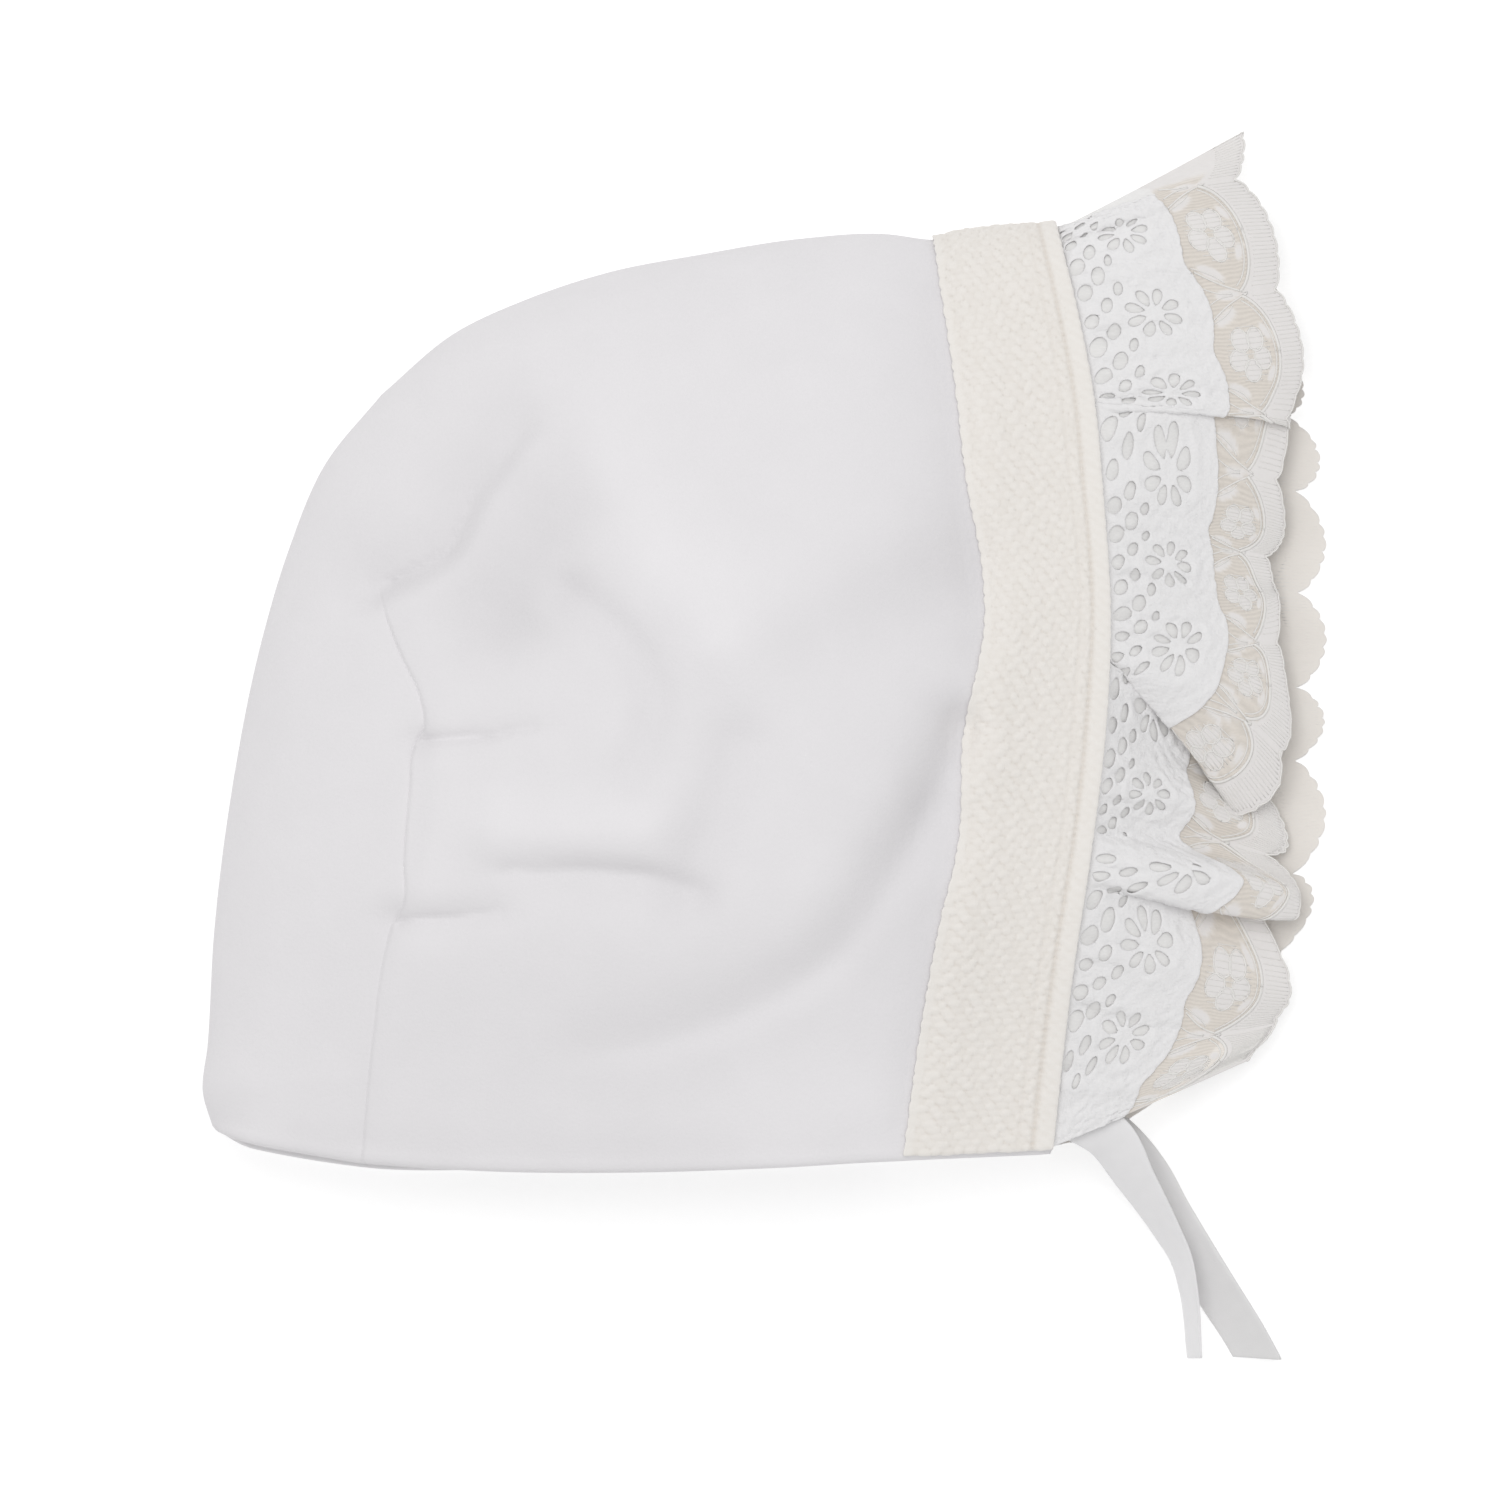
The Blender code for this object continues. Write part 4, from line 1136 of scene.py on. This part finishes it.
def cotton_relief(repeat, out):
    """Height of the cotton's ridges, dents and crochet above its plain face."""
    depth = cotton_cloth(repeat, out)
    wheel_x = from_middle(repeat) * REPEAT
    height = np.zeros_like(depth)
    for (rise, place, width), distance in ((HOLE_RIDGE, depth),
                                           (RING_RIDGE, np.hypot(wheel_x, out - WHEEL_OUT))):
        height += rise * bell(distance - place, width)
    for x, place, size in DENTS:
        height -= DENT_DEPTH * bell(np.hypot(np.abs(wheel_x) - x, out - place), size)
    # Fine crochet, fading at the holes, over a coarser unevenness
    x = repeat * REPEAT
    fine = np.sin(x * 4.3 + 1.3 * np.sin(out * 1.1)) * np.sin(out * 4.9)
    coarse = np.sin(x * 1.9 + 1.7 * np.sin(out * 0.7)) * np.sin(out * 1.6 + 0.9 * np.sin(x * 0.8))
    return height + CROCHET_RISE * fine * ease(depth / 0.8) + UNEVEN_RISE * coarse


def cut_grid(cloth):
    """Places and faces of a grid cut along the line where the cloth's depth is nought. Places
    are column and row numbers, fractions on the cut."""
    solid = cloth > 0.0
    index = np.full(cloth.shape, -1)
    index[solid] = np.arange(solid.sum())
    corners = squares(solid)
    whole = corners.all(axis=-1)
    faces = squares(index)[whole].tolist()
    cuts = {}
    new_places = []
    for i, j in np.argwhere(corners.any(axis=-1) & ~whole).tolist():
        cell = [(i, j), (i + 1, j), (i + 1, j + 1), (i, j + 1)]
        outline = []
        for here, after in zip(cell, cell[1:] + cell[:1]):
            if solid[here]:
                outline.append(int(index[here]))
            if solid[here] != solid[after]:
                key = (min(here, after), max(here, after))
                if key not in cuts:
                    low, high = cloth[key[0]], cloth[key[1]]
                    t = min(max(low / (low - high), 0.06), 0.94)
                    cuts[key] = int(solid.sum()) + len(new_places)
                    new_places.append([mix(*ends, t) for ends in zip(*key)])
                outline.append(cuts[key])
        if len(outline) >= 3:
            faces.append(outline)
    return np.concatenate((np.argwhere(solid), np.reshape(new_places, (-1, 2)))), faces


def make_cotton_lace(name, first, last, step, material):
    """The pierced cotton ruffle between two repeats."""
    columns = int(round((last - first) * REPEAT / step)) + 1
    grid_width = COTTON_WIDTH + COTTON_MARGIN
    rows = int(round(grid_width / step)) + 1
    repeats = np.linspace(first, last, columns)
    outs = np.linspace(0.0, grid_width, rows)
    places, faces = cut_grid(cotton_cloth(repeats[:, None], outs[None, :]))
    repeat = np.interp(places[:, 0], np.arange(columns), repeats)
    out = np.interp(places[:, 1], np.arange(rows), outs)
    reach = out / NET_WIDTH
    clear = COTTON_CLEAR * ease(out / CLEAR_REACH) + cotton_relief(repeat, out)
    points = lace_points(repeat, reach) + lace_normals(repeat, reach) * clear[:, None]
    from_top = np.abs(repeat - TOP_REPEAT)
    points[:, 1] -= TOP_STRIP * ease(out / COTTON_WIDTH) * bell(from_top, TOP_STRIP_LENGTH)
    solid, closed, _ = thicken(points, faces, COTTON_WALL, 0.0, 2)
    piece = make_mesh(name, solid, closed, material)
    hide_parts("cotton_lace")
    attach(piece, "root")


# Net lace: the pattern of one scallop, across from its middle and out from the seam

NET_REPEAT_LENGTH = 17.7
NET_STEP = 0.5
NEAR_NET_STEP = 0.425
ARC_APEX = 31.4
ARC_RADIUS = 9.6
ARC_SPREAD = 1.10
ARC_OUT = ARC_APEX - ARC_RADIUS
FLOWER_OUT = 25.0
FLOWER_RADIUS = 2.55
PETALS = 5
# Half length and half width of a petal, and how much of that width its ring of thread takes
PETAL_SIZE = (1.75, 2.0)
PETAL_RING = 0.8
OPEN_COVER = 0.75
PETAL_COVER = 0.96
BAND_COVER = 0.95
FAR_COVER = 0.95
UNDER_COTTON_COVER = 0.88
# Where the closer border starts and where the cotton stops lying over the net
BORDER_FROM = 23.0
UNDER_COTTON_TO = 18.6
# Leaves beside each flower. Columns: across, out, lean, half width and half length
LEAVES = ((5.6, 22.0, 0.45, 0.9, 2.3), (8.85, 23.6, 0.0, 0.8, 2.4), (3.1, 29.0, -0.9, 0.7, 1.5))
# Tendrils on both sides. Columns: start, run and bow across, start, run and bow outwards, and
# the thread's width
TENDRILS = ((5.2, 3.6, 0.5, 19.2, 8.4, 0.0, 0.34), (7.4, 1.3, 0.4, 19.2, 5.2, 0.0, 0.26),
            (4.6, 2.6, 0.0, 18.8, 5.0, 0.7, 0.24))
# Doubled thread along the scallop's arc. Columns: distance inside the arc and width
ARC_THREADS = ((0.0, 0.62), (0.85, 0.30))
PETAL_THREAD = 0.30
HATCH_THREAD = 0.17
HATCH_REACH = 4.4
HATCH_PLACES = np.arange(-4.0, 4.2, 0.8)
THREAD_SIDES = 5
THREAD_HEIGHT = 0.30
THREAD_LOWEST = 0.05
THREAD_LIFT = 0.45
# Ribs along the scalloped border, and its corded edge. Columns: width and height
RIB_THREAD = (0.16, 0.03)
EDGE_THREAD = (0.38, 0.13)
# Ribs' places in shares of a scallop from its middle, how far beyond the arc they start, and the
# shortest one
RIB_PLACES = np.arange(-0.47, 0.48, 0.034)
RIB_START = 1.0
RIB_SHORTEST = 1.0
# How far the drawing, the ribs and the corded edge stay inside the net's edge
DRAWING_INSET = 0.4
RIB_INSET = 0.7
CORD_INSET = 0.1
# In repeats from the top fold: how far the net looks plain, over how long a stretch that ends,
# and over how long a stretch it takes on the far half's look
TOP_PLAIN = 0.45
TOP_PLAIN_EASE = 0.2
FAR_EASE = 0.8
# How far the open ground beside the far half is painted cream, as painted shade of the layer behind
# it
OPEN_CREAM = 0.90
# Points of one line of the drawing, and samples along the whole ruffle
LINE_POINTS = 16
RIB_POINTS = 6
HATCH_POINTS = 5
PHASE_SAMPLES = 4000
CORD_SAMPLES = 1500


def net_pattern(repeat, out):
    """How closely the net covers at a point, and how far it is the open ground or lies under the
    cotton there."""
    x = (np.mod(net_phase(repeat), 1.0) - 0.5) * NET_REPEAT_LENGTH
    from_arc = np.hypot(x, out - ARC_OUT) - ARC_RADIUS
    outside = ease((from_arc + 0.2) / 0.5) * ease((out - BORDER_FROM) / 2.0)
    under_cotton = ease((UNDER_COTTON_TO - out) / 0.8)
    radius = np.hypot(x, out - FLOWER_OUT)
    turned = from_middle(np.arctan2(out - FLOWER_OUT, x) / TURN * PETALS) * TURN / PETALS
    petal = ellipse(radius - FLOWER_RADIUS, turned * radius, *PETAL_SIZE)
    for across, place, lean, half_wide, half_long in LEAVES:
        dx = np.abs(x) - across
        dy = out - place
        leaf = ellipse(dx * math.cos(lean) - dy * math.sin(lean),
                       dx * math.sin(lean) + dy * math.cos(lean), half_wide, half_long)
        petal = np.minimum(petal, leaf)
    on_petal = ease(0.5 - petal / 0.4)
    cover = mix(OPEN_COVER, PETAL_COVER, on_petal)
    cover = mix(cover, BAND_COVER, outside)
    cover = mix(cover, UNDER_COTTON_COVER, under_cotton)
    return cover, (1.0 - on_petal) * (1.0 - np.maximum(outside, under_cotton)), under_cotton


def net_thread_lines():
    """Lines of one scallop's drawing: across, out, and the width of the thread."""
    lines = []
    for side in (-1.0, 1.0):
        angle = np.linspace(0.0, ARC_SPREAD, LINE_POINTS) * side
        for inset, width in ARC_THREADS:
            lines.append((np.sin(angle) * (ARC_RADIUS - inset),
                          ARC_OUT + np.cos(angle) * (ARC_RADIUS - inset), width))
    t = np.linspace(0.0, TURN, LINE_POINTS + 1)
    radial = FLOWER_RADIUS + PETAL_SIZE[0] * np.cos(t)
    cross = PETAL_SIZE[1] * PETAL_RING * np.sin(t)
    for turn in TURN * np.arange(PETALS) / PETALS:
        lines.append((radial * math.cos(turn) - cross * math.sin(turn),
                      FLOWER_OUT + radial * math.sin(turn) + cross * math.cos(turn), PETAL_THREAD))
    t = np.linspace(0.0, 1.0, LINE_POINTS)
    bow = np.sin(math.pi * t)
    for side in (-1.0, 1.0):
        for x, run_x, bow_x, out, run_out, bow_out, width in TENDRILS:
            lines.append((side * (x + run_x * t + bow_x * bow), out + run_out * t + bow_out * bow,
                          width))
    for place in HATCH_PLACES:
        half = math.sqrt(HATCH_REACH ** 2 - place ** 2)
        out = FLOWER_OUT + np.linspace(-half, half, HATCH_POINTS)
        lines.append((np.full_like(out, place), out, HATCH_THREAD))
    return lines


def tube_points(path, up, width, height):
    """Points of a thread along a path, wide across the cloth and low above it."""
    side = unit(np.cross(unit(np.gradient(path, axis=0)), up))
    angle = TURN * np.arange(THREAD_SIDES)[:, None] / THREAD_SIDES
    rings = (path[:, None] + side[:, None] * np.cos(angle) * width / 2.0
             + up[:, None] * np.sin(angle) * height / 2.0)
    return rings.reshape(-1, 3)


def tube_faces(rings, first):
    """Faces of a thread of this many rings, closed at both ends, from its first point's number."""
    index = first + np.arange(rings * THREAD_SIDES).reshape(rings, THREAD_SIDES)
    after = np.roll(index, -1, axis=1)
    sides = np.stack((index[:-1], after[:-1], after[1:], index[1:]), axis=-1)
    return [*sides.reshape(-1, 4).tolist(), index[0, ::-1].tolist(), index[-1].tolist()]


def make_net_threads(material):
    """The net's drawing: arcs, flowers and tendrils in thicker thread, ribs and a corded edge."""
    points = []
    faces = []

    def lay(repeat, out, width, height):
        up = lace_normals(repeat, out / NET_WIDTH)
        path = lace_points(repeat, out / NET_WIDTH) + up * height * THREAD_LIFT
        faces.extend(tube_faces(len(path), len(points)))
        points.extend(tube_points(path, up, width, height))

    dense = np.linspace(FIRST_REPEAT, LAST_REPEAT, PHASE_SAMPLES)
    phases = net_phase(dense)
    drawing = net_thread_lines()
    for number in range(math.ceil(phases[0]), math.floor(phases[-1])):
        for x, out, width in drawing:
            repeat = np.interp(number + 0.5 + x / NET_REPEAT_LENGTH, phases, dense)
            keep = out < net_edge(repeat) * NET_WIDTH - DRAWING_INSET
            keep &= np.abs(repeat - TOP_REPEAT) > TOP_PLAIN
            if keep.all():
                lay(repeat, out, width, max(THREAD_LOWEST, width * THREAD_HEIGHT))
        for place in RIB_PLACES:
            repeat = np.interp(np.full(RIB_POINTS, number + 0.5 + place), phases, dense)
            x = place * NET_REPEAT_LENGTH
            inner = ARC_OUT + math.sqrt(max(0.0, (ARC_RADIUS + RIB_START) ** 2 - x ** 2))
            outer = float(net_edge(repeat[:1])[0]) * NET_WIDTH - RIB_INSET
            if outer - inner > RIB_SHORTEST:
                lay(repeat, np.linspace(inner, outer, RIB_POINTS), *RIB_THREAD)
    edge = np.linspace(FIRST_REPEAT, LAST_REPEAT, CORD_SAMPLES)
    lay(edge, net_edge(edge) * NET_WIDTH - CORD_INSET, *EDGE_THREAD)
    piece = make_mesh("net_lace_threads", np.array(points), faces, material)
    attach(piece, "root")
    return piece


def make_net_ground():
    """The net ruffle's fine ground, one sheet all round."""
    far_columns = int((TOP_REPEAT - FIRST_REPEAT) * REPEAT / NET_STEP)
    near_columns = int((LAST_REPEAT - TOP_REPEAT) * REPEAT / NEAR_NET_STEP)
    repeats = np.concatenate((np.linspace(FIRST_REPEAT, TOP_REPEAT, far_columns, endpoint=False),
                              np.linspace(TOP_REPEAT, LAST_REPEAT, near_columns)))
    repeat, share = np.meshgrid(repeats, np.linspace(0.0, 1.0, int(NET_WIDTH / NET_STEP)),
                                indexing="ij")
    reach = share * net_edge(repeat)
    points = lace_points(repeat, reach)
    cover, is_open, under = net_pattern(repeat, reach * NET_WIDTH)
    is_far = ease((TOP_REPEAT - repeat) / FAR_EASE)
    # Along the top fold the net lies double, and looks plain
    plain = 1.0 - ease((np.abs(repeat - TOP_REPEAT) - TOP_PLAIN) / TOP_PLAIN_EASE)
    cover = mix(mix(cover, FAR_COVER, is_far), BAND_COVER, plain)
    is_open = is_open * (1.0 - plain)
    # The cream, open and under numbers set painted shade and painted light in the net's finish
    piece = make_mesh("net_lace_ground", points.reshape(-1, 3), grid_faces(*repeat.shape),
                      net_finish(), cover=cover, cream=np.maximum(is_far, OPEN_CREAM * is_open),
                      open=is_open * (1.0 - is_far), under=under, along=repeat * REPEAT)
    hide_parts("net_lace")
    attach(piece, "root")
    return piece


# Stage and light

WHITE = (1.0, 1.0, 1.0, 1.0)
FLOOR_GREY = (0.55, 0.55, 0.55, 1.0)
FLOOR_GLOW = 0.58
FLOOR_SIZE = 6.0
FLOOR_PLACE = (0.0, 0.0, -0.0002)
KEY_PLACE = (-0.10, 0.30, 1.6)
KEY_SIZE = 1.1
KEY_POWER = 12.0
SKY = 0.585


def make_stage():
    """A plain pale floor that glows a little, for the photo's white background."""
    finish = Finish("floor", 1.0, specular=0.0)
    finish.colour(FLOOR_GREY)
    finish.feed(finish.shader.inputs["Emission Color"], WHITE)
    finish.feed(finish.shader.inputs["Emission Strength"], FLOOR_GLOW)
    bpy.ops.mesh.primitive_plane_add(size=FLOOR_SIZE, location=FLOOR_PLACE)
    floor = bpy.context.object
    floor.name = "floor"
    floor.data.materials.append(finish.material)


def make_lights():
    """Even white light all round, and a large soft lamp overhead towards the top fold."""
    world = bpy.data.worlds.new("studio")
    bpy.context.scene.world = world
    world.use_nodes = True
    sky = world.node_tree.nodes["Background"]
    sky.inputs["Color"].default_value = WHITE
    sky.inputs["Strength"].default_value = SKY
    data = bpy.data.lights.new("key", "AREA")
    data.size = KEY_SIZE
    data.energy = KEY_POWER
    key = add_object("key", data)
    key.location = KEY_PLACE
    x, y, z = KEY_PLACE
    key.rotation_euler = (math.atan2(-y, z), math.atan2(x, z), 0.0)
    bpy.context.scene.view_settings.view_transform = "Standard"


make_camera()
for tie_name, tie in TIES.items():
    make_tie(tie_name, *tie)
make_crown()
make_knit_band()
net_ground = make_net_ground()
net_threads = make_net_threads(thread_finish())
cotton = cotton_finish()
make_cotton_lace("cotton_lace_near", TOP_REPEAT, LAST_REPEAT, COTTON_STEPS[0], cotton)
make_cotton_lace("cotton_lace_far", FIRST_REPEAT, TOP_REPEAT, COTTON_STEPS[1], cotton)
make_stage()
make_lights()
